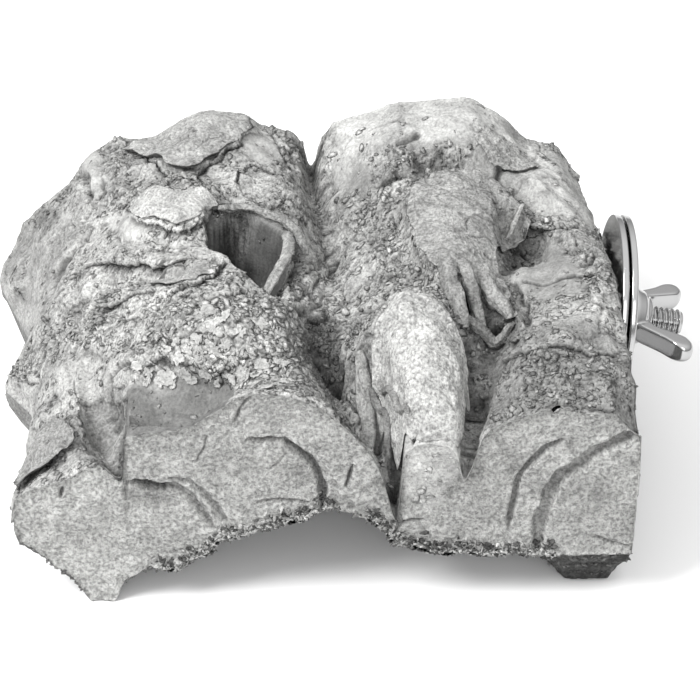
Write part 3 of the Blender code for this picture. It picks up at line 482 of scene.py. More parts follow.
def lattice(i, j, k, seed):
    """A fixed number from 0 to 1 for each whole (i, j, k): products with odd numbers, folded."""
    n = (i * 73856093) ^ (j * 19349663) ^ (k * 83492791) ^ (seed * 83610931)
    n = ((n ^ (n >> 13)) * 1274126177) & 0x7FFFFFFF
    n = ((n ^ (n >> 15)) * 668265263) & 0x7FFFFFFF
    return ((n >> 8) & 0xFFFF) / 65535.0


def noise(p, size, seed):
    """Smooth noise from -1 to 1: fixed numbers on a lattice of this size, blended between."""
    q = p / size
    base = np.floor(q)
    f = q - base
    f = f * f * (3 - 2 * f)
    i, j, k = np.moveaxis(base.astype(np.int64), -1, 0)
    total = np.zeros(p.shape[:-1])
    for a, b, c in np.ndindex(2, 2, 2):
        weight = (np.where(a, f[..., 0], 1 - f[..., 0]) * np.where(b, f[..., 1], 1 - f[..., 1])
                  * np.where(c, f[..., 2], 1 - f[..., 2]))
        total += weight * lattice(i + a, j + b, k + c, seed)
    return 2 * total - 1


def fractal(p, size, seed, octaves=3):
    """Noise with finer and weaker noise on it: each octave has half the size and 0.55 the height."""
    total, weight, whole = 0.0, 1.0, 0.0
    for octave in range(octaves):
        total = total + weight * noise(p, size / 2 ** octave, seed + octave)
        whole += weight
        weight *= 0.55
    return total / whole


def fractals(p, size, seeds, octaves=3):
    """Several fractals with these seeds, side by side."""
    return np.stack([fractal(p, size, seed, octaves) for seed in seeds], -1)


def cells(p, size, seed):
    """Cells round scattered points: how far it is to the next cell, the cell's own number from
    0 to 1, and where in the cell a place is."""
    q = p / size
    base = np.floor(q).astype(np.int64)
    near = np.full(p.shape[:-1], 9.0)
    second, own = near.copy(), near.copy()
    within = np.zeros(p.shape)
    for step in np.ndindex(3, 3, 3):
        cell = base + np.array(step) - 1
        i, j, k = np.moveaxis(cell, -1, 0)
        shift = np.stack([lattice(i, j, k, seed + n) for n in range(3)], -1)
        away = q - cell - 0.1 - 0.8 * shift
        distance = np.sqrt((away * away).sum(-1))
        closer = distance < near
        second = np.where(closer, near, np.minimum(second, distance))
        near = np.where(closer, distance, near)
        own = np.where(closer, shift[..., 0] * 7.31 % 1.0, own)
        within = np.where(closer[..., None], away, within)
    return second - near, own, within


def soft_step(t):
    """From 0 to 1 as t goes from 0 to 1, level at both ends."""
    t = np.clip(t, 0, 1)
    return t * t * (3 - 2 * t)


def terraced(h, sharp):
    """h in steps of 1: level, then a riser over the last part (sharp) of each step."""
    level = np.floor(h)
    return level + soft_step((h - level - 1 + sharp) / sharp)


def through(knots, values, at):
    """A curve through values at knots, without overshoot: cubic pieces with limited slopes."""
    knots = np.asarray(knots, float)
    values = np.asarray(values, float)
    if values.ndim == 1:
        values = values.reshape(-1, *[1] * at.ndim) * np.ones_like(at)
    span = np.diff(knots).reshape(-1, *[1] * at.ndim)
    rise = np.diff(values, axis=0) / span
    before, after = rise[:-1], rise[1:]
    same_way = before * after > 0
    both = np.where(same_way, before + after, 1.0)
    slope = np.zeros_like(values)
    slope[1:-1] = np.where(same_way, 2 * before * after / both, 0.0)
    piece = np.clip(np.searchsorted(knots, at, "right") - 1, 0, len(knots) - 2)

    def pick(stack, index):
        """The rows of a stack with these numbers."""
        return np.take_along_axis(stack, index[None], 0)[0]

    width = np.diff(knots)[piece]
    t = np.clip((at - knots[piece]) / width, 0, 1)
    low, high = pick(values, piece), pick(values, piece + 1)
    slope_low, slope_high = pick(slope, piece) * width, pick(slope, piece + 1) * width
    return (low * (1 + 2 * t) * (1 - t) ** 2 + slope_low * t * (1 - t) ** 2
            + high * t * t * (3 - 2 * t) + slope_high * t * t * (t - 1))


def edge(points, y):
    """The x of an edge that is given as (y, x) points."""
    knots, values = zip(*points)
    return through(knots, values, y)


def lofted(cuts, x, y):
    """A height from cuts across the slab: a curve along each cut, then a curve from cut to cut."""
    heights = [through(*zip(*cut), x) for cut in cuts.values()]
    return through(list(cuts), np.stack(heights), y)


def unit(vectors):
    """Vectors with the length 1."""
    return vectors / np.linalg.norm(vectors, axis=-1, keepdims=True)


def run_along(points):
    """The distance along a line of points from its first to each of them."""
    steps = np.linalg.norm(np.diff(points, axis=0), axis=1)
    return np.concatenate([[0], np.cumsum(steps)])


def set_off(centre, first, side, second, other):
    """Points at these distances from a centre along two directions."""
    return centre + first[..., None] * side + second[..., None] * other


def to_piece(x, y, start, end):
    """The distance to the straight piece between two points, and a number that is above 0 on
    its left."""
    (ax, ay), (bx, by) = start, end
    dx, dy = bx - ax, by - ay
    t = np.clip(((x - ax) * dx + (y - ay) * dy) / (dx * dx + dy * dy), 0, 1)
    return np.hypot(x - ax - t * dx, y - ay - t * dy), dx * (y - ay) - dy * (x - ax)


def to_path(x, y, path, closed=False):
    """The distance to a run of straight pieces, and whether the point is inside it if closed."""
    points = np.asarray(path, float)
    ends = np.roll(points, -1, axis=0) if closed else points[1:]
    nearest = np.full(x.shape, np.inf)
    inside = np.zeros(x.shape, bool)
    for start, end in zip(points, ends):
        nearest = np.minimum(nearest, to_piece(x, y, start, end)[0])
        (ax, ay), (bx, by) = start, end
        rise = by - ay if by != ay else 1.0
        inside ^= ((ay > y) != (by > y)) & (x < ax + (y - ay) / rise * (bx - ax))
    return nearest, inside


def covered(x, y, outline, softness):
    """1 inside an outline and 0 outside it, with an edge this soft."""
    distance, inside = to_path(x, y, outline, closed=True)
    return soft_step(np.where(inside, distance, -distance) / softness + 0.5)


def trenches(x, y, paths):
    """How deep the grooves and cracks are: a bell-shaped trench along each path."""
    total = np.zeros_like(x)
    for half_width, depth, path in paths:
        distance, _ = to_path(x, y, path)
        total = np.maximum(total, depth * np.exp(-((distance / half_width) ** 2)))
    return total


def lumps(x, y):
    """Rounded lumps, each a bell over an ellipse."""
    total = np.zeros_like(x)
    for cx, cy, across, along, height in LUMPS:
        total += height * np.exp(-((x - cx) / across) ** 2 - ((y - cy) / along) ** 2)
    return total


def ripple(x, y, z):
    """A small uneven swell in all directions, from a few crossed waves."""
    return (np.sin(0.61 * x + 1.3 * np.sin(0.23 * y) + 0.4 * z)
            + np.sin(0.47 * y - 0.38 * x + 2.1) * np.cos(0.29 * z + 0.17 * x)
            + np.sin(0.83 * y + 0.52 * x - 0.31 * z + 0.7)) / 3


def top_height(x, y):
    """The bark's top without its fine relief: lofted cuts with plates, pits, lumps and grooves."""
    z = lofted(TOP_CUTS, x, y) + lumps(x, y) - trenches(x, y, GROOVES)
    for height, softness, outline in FORMS:
        z += height * covered(x, y, outline, softness)
    inland = np.clip(y / 10, 0, 1) * np.clip((DEPTH - y) / 10, 0, 1)
    return z + SWELL * inland * ripple(x, y, z)


def under_height(x, y):
    """The hollow underside, flat where its feet touch the ground."""
    z = lofted(UNDER_CUTS, x, y)
    return np.maximum(z + 0.8 * np.clip(z - 1, 0, 1) * ripple(x, y, 30 + z), 0)


def direction(droop, yaw=0.0):
    """A direction out to the right, drooping and turned to the back by these angles."""
    return np.array([math.cos(droop) * math.cos(yaw), math.cos(droop) * math.sin(yaw),
                     -math.sin(droop)])


def stud_point():
    """Where the stud passes through the inner washer's face: in front of and below its middle."""
    along = direction(STUD_DROOP)
    play = np.cross(along, np.cross(PLAY_WAY, along))
    return np.array(WASHER_CENTRE) - WASHER_PLAY * play / np.linalg.norm(play)


def seat(p):
    """How far a point of the right end stands out past the flat seat of the inner washer."""
    along = direction(WASHER_DROOP, WASHER_YAW)
    offset = p - np.array(WASHER_CENTRE)
    past = offset @ along + TOUCHING_GAP
    off_axis = np.linalg.norm(offset - (offset @ along)[..., None] * along, axis=-1)
    fade = np.clip((SEAT_RADIUS + SEAT_FADE - off_axis) / SEAT_FADE, 0, 1)
    return np.maximum(past, 0) * fade


def slab_section():
    """The way round the slab's section: each row's share of the depth and of the height, and the
    kind of surface it lies on."""
    rise = np.arange(FACE_ROWS) / FACE_ROWS
    over = np.linspace(0, 1, TOP_ROWS) ** 1.08
    fall = np.arange(1, BACK_ROWS + 1) / BACK_ROWS
    under = np.arange(1, UNDER_ROWS + 1) / (UNDER_ROWS + 1)
    depth = np.concatenate([0 * rise, over, 0 * fall + 1, (1 - under) ** 1.5])
    height = np.concatenate([rise, 0 * over + 1, 1 - fall, 0 * under])
    kind = np.repeat([SAWN_FRONT, CRUST, SAWN_BACK, UNDERSIDE],
                     [FACE_ROWS, TOP_ROWS, BACK_ROWS, UNDER_ROWS])
    return depth, height, kind


def across_nose(x, wider, softness):
    """1 across the tongue's front and 0 beside it, for a left side that is this much wider."""
    outline = [(NOSE_LEFT - wider, -9), (NOSE_RIGHT, -9), (NOSE_RIGHT, 9), (NOSE_LEFT - wider, 9)]
    return covered(x, 0 * x, outline, softness)


def nose_drop(x, y):
    """How far the tongue's rounded front turns down: most at the front cut, none further back."""
    return NOSE_DROP * across_nose(x, 0, 3.0) * np.clip(1 - y / NOSE_REACH, 0, 1) ** 2


def slab_half(left):
    """One half of the slab without its fine relief, as columns of points round the section.

    x runs from the outer edge to the fissure (or on to the other edge) in equal shares. At the
    outer edge more columns follow, closing to the line half way up the wall.
    """
    depth, height, kind = slab_section()
    share = np.linspace(0, 1, LEFT_COLUMNS if left else RIGHT_COLUMNS)
    t, y_share = np.meshgrid(share, depth, indexing="ij")
    y = DEPTH * y_share
    start, end = (LEFT_EDGE, FISSURE) if left else (FISSURE, RIGHT_EDGE)
    x = edge(start, y) * (1 - t) + edge(end, y) * t
    under = under_height(x, y)
    top = np.maximum(top_height(x, y) - nose_drop(x, y), under + THINNEST)
    z = under + (top - under) * height
    bow = BACK_BOW * (kind == SAWN_BACK) * np.sin(np.pi * height)
    bow = np.sin(np.pi * (x - BOW_START) / BOW_LENGTH) * bow
    points = np.stack([x, y + bow, z], -1)
    row = 0 if left else -1
    middle = (top + under)[row] / 2
    swell = LEFT_SWELL if left else RIGHT_SWELL
    rings = []
    for ring in range(1, END_RINGS + 1):
        closing = 0.96 * ring / END_RINGS
        point = points[row].copy()
        point[:, 2] = middle + (point[:, 2] - middle) * (1 - closing)
        point[:, 0] += swell * math.sin(math.pi / 2 * closing)
        rings.append(point)
    rings = np.stack(rings)
    return np.concatenate([rings[::-1], points]) if left else np.concatenate([points, rings])


def outward(points):
    """Unit normals of a grid of rows that close round: the step to the next column times the
    step to the next row."""
    across = np.gradient(points, axis=0)
    around = np.roll(points, -1, axis=1) - np.roll(points, 1, axis=1)
    normal = np.cross(across, around)
    return normal / np.maximum(np.linalg.norm(normal, axis=-1, keepdims=True), 1e-9)


def blurred(values, reach):
    """Each value's average over a square of the grid, from running totals along both ways."""
    for axis in (0, 1):
        padded = np.concatenate([np.take(values, [0] * (reach + 1), axis), values,
                                 np.take(values, [-1] * reach, axis)], axis)
        total = np.cumsum(padded, axis)
        count = values.shape[axis]
        far = np.take(total, range(2 * reach + 1, 2 * reach + 1 + count), axis)
        values = (far - np.take(total, range(count), axis)) / (2 * reach + 1)
    return values


def ledges(x, y):
    """How far the ledges raise a place, and how deep in the shadow under one it is."""
    lift, shadow = np.zeros_like(x), np.zeros_like(x)
    for height, reach, path in LEDGES:
        points = np.asarray(path, float)
        nearest, side = np.full(x.shape, np.inf), np.zeros_like(x)
        for start, end in zip(points, points[1:]):
            distance, on_left = to_piece(x, y, start, end)
            closer = distance < nearest
            side = np.where(closer, on_left, side)
            nearest = np.where(closer, distance, nearest)
        behind = side > 0
        lift = np.maximum(lift, height * np.exp(-nearest / reach) * behind)
        shadow = np.maximum(shadow, np.exp(-((nearest / 0.9) ** 2)) * ~behind)
    return lift, shadow


def roughness_of(p):
    """From 0 on smooth plates to 1 on crumbling crust: ragged patches of broad noise."""
    return soft_step(0.5 + 1.5 * fractal(p, 12, 131, 4))


def crust_relief(p, size=1.0):
    """The crust's relief: ledges of layered bark, plates at three sizes that step up and down with
    cracks between them, flakes and grit on the rough patches. Gives the relief along the normal,
    how far its ledges lean forwards, and how rough it is."""
    rough = roughness_of(p)
    ragged = fractal(p, 2.4, 21, 4)
    q = p + 3.0 * fractals(p, 8, (11, 12, 13)) + 0.5 * ragged[..., None]
    flat = q * np.array([0.7, 1.15, 1.15])
    layers = terraced(3.0 * fractal(flat, 14, 31, 2) + 0.25 * ragged, 0.1) + 0.2
    plates = np.zeros_like(rough)
    cracks = np.zeros_like(rough)
    for cell, step, tip, depth, width, seed in CRUST_PLATES:
        gap, own, within = cells(q, np.array([1.5, 1.0, 1.0]) * cell * 0.8, seed)
        share = 1.0 if cell > 8 else 0.25 + 0.75 * rough
        plates += share * (step * (own - 0.5) - tip * within[..., 1] * own)
        narrow = np.exp(-((gap / width) ** 2)) * soft_step(2.5 * own - 0.4)
        cracks = np.maximum(cracks, share * depth * narrow)
    pits = np.clip(noise(p, 1.3, 61) - 0.4, 0, 1) * rough
    grit = fractal(p, 1.2, 71, 3) * (0.25 + 0.75 * rough)
    leaning = size * (LEDGE_LEAN * layers + PLATE_LEAN * plates)
    relief = (size * (LEDGE_RISE * layers + plates - cracks) - PIT_DEPTH * pits
              + RAGGED_HEIGHT * ragged + GRIT_HEIGHT * grit)
    return relief, leaning, rough


def grooves_in_face(x, z):
    """How deep the sawn front's cracks are, each a trench of uneven width with steep sides that thins
    out to its ends, and the painted shade in one: darker along its lower right side than its upper
    left, with a painted highlight, given as a value below 0, on a rim just outside its upper left
    side."""
    depth, inside, painted_rim_highlights = np.zeros_like(x), np.zeros_like(x), np.zeros_like(x)
    uneven = 1 + 0.55 * fractal(np.stack([x, 0 * x, z], -1), 3.0, 85, 3)
    for half_width, deep, dark, path in FACE_CRACKS:
        distance, _ = to_path(x, z, path)
        to_tip = np.minimum(*(np.hypot(x - tip[0], z - tip[1]) for tip in (path[0], path[-1])))
        wide = half_width * uneven * np.clip(0.35 + to_tip / 4, 0, 1)
        share = soft_step((wide - distance) / (0.6 + 0.3 * half_width) + 0.5)
        depth = np.maximum(depth, deep * share)
        shifted, _ = to_path(x + 0.55 * half_width, z - 0.35 * half_width, path)
        side = np.clip((shifted - distance) / half_width, -0.7, 0.7)
        inside = np.maximum(inside, dark * share * (1.0 + side))
        rim = np.exp(-(((distance - wide - 0.5) / 0.35) ** 2)) * (dark > 0.2) * (side < 0)
        painted_rim_highlights = np.maximum(painted_rim_highlights, rim)
    return depth, inside - 0.1 * painted_rim_highlights * (inside < 0.05)


def sawn_relief(p):
    """The sawn front's relief: torn cork like rough plaster, with pits, shallow bowls and cracks
    whose walls are smooth. Gives the relief and the painted shade in the cracks and the bowls."""
    x, _, z = np.moveaxis(p, -1, 0)
    wobble = 0.5 * fractals(p, 3.5, (81, 82))
    cracks, inside = grooves_in_face(x + wobble[..., 0], z + wobble[..., 1])
    _, own, within = cells(p, 1.7, 91)
    pores = np.clip(0.45 - np.linalg.norm(within, axis=-1), 0, 1) * (own > 0.7)
    torn = fractal(p * np.array([0.8, 1.0, 1.1]), 1.8, 95, 3)
    curds = np.abs(fractal(p, 2.6, 98, 3))
    swell = fractal(p, 9, 99, 2)
    bowls = sum(depth * np.exp(-((x - cx) / across) ** 2 - ((z - cz) / up) ** 2)
                for cx, cz, across, up, depth in FACE_BOWLS)
    rough = 1 - 0.8 * np.clip(inside * 2, 0, 1)
    low = np.exp(-((z - under_height(x, 0 * x)) / 2.5) ** 2) * (x > -42) * (x < 46)
    crumbs = low * np.clip(0.2 + fractal(p, 1.6, 93, 2), 0, 1)
    lay = TORN_HEIGHT * torn - CURD_DEPTH * curds - PORE_DEPTH * pores
    # painted shade in the bowls, added to that in the cracks
    dark = inside + 0.17 * np.clip(bowls, 0, 1.6) * (1 - inside)
    relief = (rough * (lay - CRUMB_DEPTH * crumbs) - cracks - bowls - SAWN_INSET
              - SAWN_SWELL * (swell + 1) * rough)
    return relief, dark


def under_relief(p):
    """The underside's relief: coarse lumps and crumbs of the inner bark."""
    gap, own, _ = cells(p, 2.6, 101)
    return 0.9 * fractal(p, 6, 103, 3) + 0.5 * own * np.clip(gap * 3, 0, 1) - 0.3


def painted_hollow_shade(push, scales, strength=0.42):
    """Painted shade for a place's height: it darkens fast below the average height around it, as
    shade falls in a hollow, and lightens a little above it, at each of these (reach in cells, height)
    scales."""
    total = np.zeros_like(push)
    for reach, height in scales:
        total += np.clip((push - blurred(push, reach)) / height, -1.6, 0.6)
    return np.clip(np.exp(strength * total), 0.16, 1.15)


def tone_and_shade_of(x, y):
    """The factor that the named patches give a place on the top: their tone, and in the marked ones
    painted shade or painted light.
    """
    tone = np.ones_like(x)
    for value, softness, outline in TONE_AND_SHADE_PATCHES:
        tone *= 1 + (value - 1) * covered(x, y, outline, softness)
    return tone


def smoothness(x, y):
    """How smooth the named patches make a place on the top, from 0 to 1."""
    smooth = np.zeros_like(x)
    for strength, softness, outline in SMOOTH_PATCHES:
        smooth = np.maximum(smooth, strength * covered(x, y, outline, softness))
    return smooth


def beside_corner(y, z):
    """1 at the corners where the faces of the section meet, falling to 0 within the edge's width."""
    to_corner = np.minimum(y, DEPTH - y)
    back = FACE_ROWS + TOP_ROWS - 1
    for first, last in ((0, FACE_ROWS), (back, back + BACK_ROWS)):
        ends = np.sort(z[:, [first, last]], axis=1)
        rows = slice(first, last + 1)
        to_corner[:, rows] = np.minimum(z[:, rows] - ends[:, :1], ends[:, 1:] - z[:, rows])
    return 1 - soft_step(to_corner / EDGE_WIDTH)


def dressed(left):
    """A half of the slab with its relief. The relief of each face is pushed out along the normal,
    the same for both faces near a corner, and straight for both halves at the fissure."""
    base = slab_half(left)
    x, y, z = np.moveaxis(base, -1, 0)
    kind = np.broadcast_to(slab_section()[2], x.shape)
    normal = outward(base)
    # The tongue's rounded front is crust, though its rows are the sawn front's
    above = z - 27 - 1.2 * np.abs(x - 18) - 4 * fractal(base, 4, 141, 3)
    front = kind == SAWN_FRONT
    nose = front * across_nose(x, 1, 2.0) * soft_step(above / 5 + 0.5)
    kind = np.where(nose > 0.5, CRUST, kind)
    on_top = kind == CRUST
    relief, leaning, rough = crust_relief(base)
    smooth = smoothness(x, y)
    bend = 0.9 * fractals(base, 3, (15, 16))
    cracks = trenches(x + bend[..., 0], y + bend[..., 1], CRUST_CRACKS)
    lift, shadow = ledges(x + bend[..., 0], y + bend[..., 1])
    lift *= on_top
    crust = relief * (1 - 0.75 * smooth) - CRUST_INSET - cracks + 0.6 * lift - 0.7 * shadow
    sawn, inside = sawn_relief(base)
    at_end = soft_step((x - END_START) / END_FADE) if not left else 0 * x
    ring = np.clip(np.arange(len(x)) - (len(x) - 1 - END_RINGS), 0, None) / END_RINGS
    ring = np.broadcast_to((ring[::-1] if left else ring)[:, None], x.shape)
    crust = crust * (1 - 0.6 * at_end) - 1.0 * at_end
    face = sawn * (1 - nose) + (0.6 * crust - 0.4) * nose
    crust = np.maximum(crust, under_height(x, y) + LEAST_CRUST - z)
    push = np.select([front, on_top, kind == SAWN_BACK], [face, crust, 0.5 * sawn],
                     under_relief(base))
    beside = beside_corner(y, z)
    push = push * (1 - beside) + beside * (0.55 * fractal(base, 2.2, 93, 3) - 0.3)
    push = push * (1 - ring) + ring * (0.6 * noise(base, 12, 151) - 0.5)
    out = np.array([-1.0 if left else 1.0, 0, 0])
    normal = normal * (1 - ring[..., None]) + ring[..., None] * out
    upwards = (on_top * ~front * np.clip(1 - y / 3, 0, 1))[..., None]
    normal = normal * (1 - upwards) + upwards * np.array([0, 0.2, 1.0])
    push = np.where((kind == UNDERSIDE) & (z < 1.5), np.clip(push, -0.15, 0), push)
    ways = np.array([[0, 0, 1.0], [0, -1.0, 0], [0, 1.0, 0], [0, 0, -1.0]])
    straight = ways[np.where(front, SAWN_FRONT, kind)]
    seam = 1 - soft_step(np.abs(x - edge(FISSURE, y)) / SEAM_WIDTH)[..., None]
    made = base + (normal * (1 - seam) + straight * seam) * push[..., None]
    from_front = np.clip(y / 4, 0, 1)
    lean = leaning * on_top * from_front * (1 - smooth) * (1 - ring)
    made[..., 1] -= lean + 0.7 * lift * from_front
    made[..., 1] = np.clip(made[..., 1], 0.02, None)
    made = limited(made)
    made[..., 0] -= seat(made) / direction(WASHER_DROOP, WASHER_YAW)[0]
    # How light each place is: the patches' tone, with painted shade in the hollows, in the face
    # cracks and under the ledges, and painted light on the tongue's front
    breaks = np.cumsum([0, FACE_ROWS, TOP_ROWS, BACK_ROWS, UNDER_ROWS])
    shade = np.concatenate([painted_hollow_shade(push[:, a:b], HOLLOW_SHADE_SCALES, strength)
                            for a, b, strength in zip(breaks, breaks[1:], HOLLOW_SHADE_STRENGTHS)], axis=1)
    lobe = 1 + 0.2 * soft_step((-42 - x) / 12)
    # On the sawn front: paler cork on the left lobe; the tongue's turned-down front lighter, partly
    # its pale tone and partly painted light against the shade its face gets; painted shade in the
    # face cracks
    on_front = (1 + (0.15 + 0.3 * soft_step(above / 12)) * nose) * lobe * (1 - inside)
    # On the top: the patches' tone with their painted shade and light, darker where rough, and a
    # painted shadow under the ledges
    on_crust_top = tone_and_shade_of(x, y) * (1.14 - 0.25 * rough) * (1 - 0.55 * shadow)
    # The back and the underside a little darker, and the underside by the right foot darker still:
    # painted shade against the front light that reaches it
    elsewhere = np.where((kind == UNDERSIDE) & (x > 30) & (y < 20), 0.5, 0.8)
    shade = shade * np.where(front, on_front, np.where(on_top, on_crust_top, elsewhere))
    shade = shade ** np.where(on_top, 1.1 - 0.4 * smooth, 1.0)
    wall = (ring > 0) & (kind == UNDERSIDE)
    shade = np.where(wall, 0.62 + 0.2 * fractal(base, 6, 161, 3), shade)
    shade = np.clip(shade, DARKEST, LIGHTEST)
    kind = np.where(wall, CRUST, kind)
    return Half(made, outward(made), kind, shade, smooth * (kind == CRUST))


def to_frame(points):
    """Millimetres from the front cut to metres from the origin under the object's middle."""
    return (np.asarray(points, float) - np.array([MIDDLE_X, MIDDLE_Y, 0.0])) * MM


def quads(columns, rows, close_rows=True, start=0):
    """The four corners of each face of a grid of points, column by column."""
    i = np.arange(columns - 1)[:, None]
    j = np.arange(rows if close_rows else rows - 1)[None, :]
    after = (j + 1) % rows
    corners = [i * rows + j, (i + 1) * rows + j, (i + 1) * rows + after, i * rows + after]
    return np.stack([c + 0 * (i + j) for c in corners], -1).reshape(-1, 4) + start


def end_wall(points, first, turn, flip):
    """Triangles that close a ring: a strip between its upper side and its lower side, taken in
    the order of their y. points are the ring's and first is the number of its first vertex."""
    count = len(points)
    upper = np.arange(turn + 1)
    lower = np.arange(count - 1, turn, -1)
    upper_steps = np.stack([points[upper[1:], 1], 0 * upper[1:]], -1)
    lower_steps = np.stack([points[lower[1:], 1], 0 * lower[1:] + 1], -1)
    steps = np.concatenate([upper_steps, lower_steps])
    order = np.argsort(steps[:, 0], kind="stable")
    is_lower = steps[order, 1] > 0
    a = np.cumsum(~is_lower) - (~is_lower)
    b = np.cumsum(is_lower) - is_lower
    third = np.where(is_lower, lower[np.minimum(b + 1, len(lower) - 1)],
                     upper[np.minimum(a + 1, turn)])
    faces = np.stack([upper[a], lower[b], third], -1) + first
    return faces[:, ::-1] if flip else faces


def facing_out(vertices, faces):
    """The faces of closed shells, all turned over if their volume (the sum of the pyramids from
    the origin to each triangle) comes out negative."""
    volume = 0.0
    for face in faces:
        for n in range(1, face.shape[1] - 1):
            sides = np.cross(vertices[face[:, n]], vertices[face[:, n + 1]])
            volume += np.einsum("ij,ij->", vertices[face[:, 0]], sides)
    return [face[:, ::-1] for face in faces] if volume < 0 else faces


def put_mesh(name, vertices, faces, materials, slots=None, shades=None):
    """A smooth object from whole arrays: vertices in metres, and faces as arrays of equal
    corners."""
    faces = facing_out(np.asarray(vertices, float), faces)
    mesh = bpy.data.meshes.new(name)
    mesh.vertices.add(len(vertices))
    mesh.vertices.foreach_set("co", np.ascontiguousarray(vertices, np.float32).ravel())
    corners = np.concatenate([f.ravel() for f in faces]).astype(np.int32)
    sizes = np.concatenate([np.full(len(f), f.shape[1]) for f in faces]).astype(np.int32)
    mesh.loops.add(len(corners))
    mesh.loops.foreach_set("vertex_index", corners)
    mesh.polygons.add(len(sizes))
    starts = np.concatenate([[0], np.cumsum(sizes)[:-1]]).astype(np.int32)
    mesh.polygons.foreach_set("loop_start", starts)
    if slots is not None:
        mesh.polygons.foreach_set("material_index", slots.astype(np.int32))
    for material in materials:
        mesh.materials.append(material)
    mesh.update(calc_edges=True)
    mesh.validate()
    mesh.shade_smooth()
    if shades is not None:
        put_values(mesh, "shade", shades)
    thing = bpy.data.objects.new(name, mesh)
    bpy.context.scene.collection.objects.link(thing)
    return thing


def put_values(mesh, name, values):
    """A number at each vertex, for the materials."""
    layer = mesh.attributes.new(name, "FLOAT", "POINT")
    layer.data.foreach_set("value", np.ascontiguousarray(values, np.float32).ravel())


def node(tree, kind, **values):
    """A shader node; a value goes to the input of that name, or else to the setting."""
    made = tree.nodes.new(kind)
    for key, value in values.items():
        if key in made.inputs:
            made.inputs[key].default_value = value
        else:
            setattr(made, key, value)
    return made


def wired(tree, kind, inputs, **values):
    """A shader node fed from other nodes' outputs."""
    made = node(tree, kind, **values)
    for socket, output in inputs.items():
        tree.links.new(output, made.inputs[socket])
    return made


def product(tree, *outputs):
    """The product of several values."""
    total = outputs[0]
    for output in outputs[1:]:
        factors = {0: total, 1: output}
        total = wired(tree, "ShaderNodeMath", factors, operation="MULTIPLY").outputs["Value"]
    return total


def ranged(tree, output, low, high, first, last):
    """A value carried from one range to another and kept inside it."""
    ends = {"From Min": low, "From Max": high, "To Min": first, "To Max": last}
    return wired(tree, "ShaderNodeMapRange", {"Value": output}, **ends).outputs["Result"]


def new_material(name):
    """A material, its tree and its shader."""
    material = bpy.data.materials.new(name)
    material.use_nodes = True
    return material, material.node_tree, material.node_tree.nodes["Principled BSDF"]


def noise_of(tree, place, **values):
    """Shader noise at a place."""
    return wired(tree, "ShaderNodeTexNoise", {"Vector": place}, **values).outputs["Fac"]


def mixed(tree, share, first, second):
    """A blend of two values by a share; each may be a number or an output."""
    ends = {"A": first, "B": second}
    numbers = {key: end for key, end in ends.items() if isinstance(end, float)}
    outputs = {key: end for key, end in ends.items() if key not in numbers}
    return wired(tree, "ShaderNodeMix", {"Factor": share, **outputs}, **numbers).outputs["Result"]


def bark_material(name, dark, light, bump, grain, cells, cracked, speck, speck_range=(0.34, 0.6)):
    """Rough bark. Its tone runs between dark and light in ragged clouds. It is darker in grit, in
    hair cracks round small cells, and where the shade attribute is low, which carries the patches'
    tone and the painted shade; grit and cracks are weaker where the calm attribute is high. The grit
    and the cracks make its bump too."""
    material, tree, shader = new_material(name)
    shader.inputs["Roughness"].default_value = 0.92
    shader.inputs["Specular IOR Level"].default_value = 0.15
    place = node(tree, "ShaderNodeTexCoord").outputs["Object"]
    clouds = noise_of(tree, place, Scale=150.0, Detail=9.0, Roughness=0.72)
    ramp = wired(tree, "ShaderNodeValToRGB", {"Fac": clouds})
    for stop, position, colour in zip(ramp.color_ramp.elements, (0.38, 0.62), (dark, light)):
        stop.position = position
        stop.color = (*colour, 1)
    grit = noise_of(tree, place, Scale=grain, Detail=4.0, Roughness=0.68)
    calm = node(tree, "ShaderNodeAttribute", attribute_name="calm").outputs["Fac"]
    weaker = ranged(tree, calm, 0.0, 1.0, 0.0, 0.5)
    specks = mixed(tree, weaker, ranged(tree, grit, *speck_range, speck, 1.1), 0.82)
    bent = wired(tree, "ShaderNodeTexNoise", {"Vector": place}, Scale=420.0, Detail=3.0)
    shift = wired(tree, "ShaderNodeVectorMath", {0: bent.outputs["Color"]}, operation="SCALE",
                  Scale=0.003)
    moved = wired(tree, "ShaderNodeVectorMath", {0: place, 1: shift.outputs["Vector"]},
                  operation="ADD")
    net = wired(tree, "ShaderNodeTexVoronoi", {"Vector": moved.outputs["Vector"]}, Scale=cells,
                feature="DISTANCE_TO_EDGE")
    lines = ranged(tree, net.outputs["Distance"], 0.0, 0.1, 0.0, 1.0)
    where = noise_of(tree, place, Scale=95.0, Detail=3.0)
    some = ranged(tree, where, 0.42, 0.6, 0.0, cracked)
    cracks = mixed(tree, weaker, mixed(tree, some, 1.0, lines), 0.95)
    shade = node(tree, "ShaderNodeAttribute", attribute_name="shade").outputs["Fac"]
    tone = product(tree, specks, cracks, shade)
    mix = wired(tree, "ShaderNodeMix", {"B": tone, "A": ramp.outputs["Color"]}, data_type="RGBA",
                blend_type="MULTIPLY")
    mix.inputs["Factor"].default_value = 1.0
    tree.links.new(mix.outputs["Result"], shader.inputs["Base Color"])
    height = product(tree, ranged(tree, grit, 0.3, 0.7, 0.4, 1.0), cracks)
    strength = ranged(tree, calm, 0.0, 1.0, 1.0, 0.5)
    push = wired(tree, "ShaderNodeBump", {"Height": height, "Strength": strength}, Distance=bump)
    tree.links.new(push.outputs["Normal"], shader.inputs["Normal"])
    return material


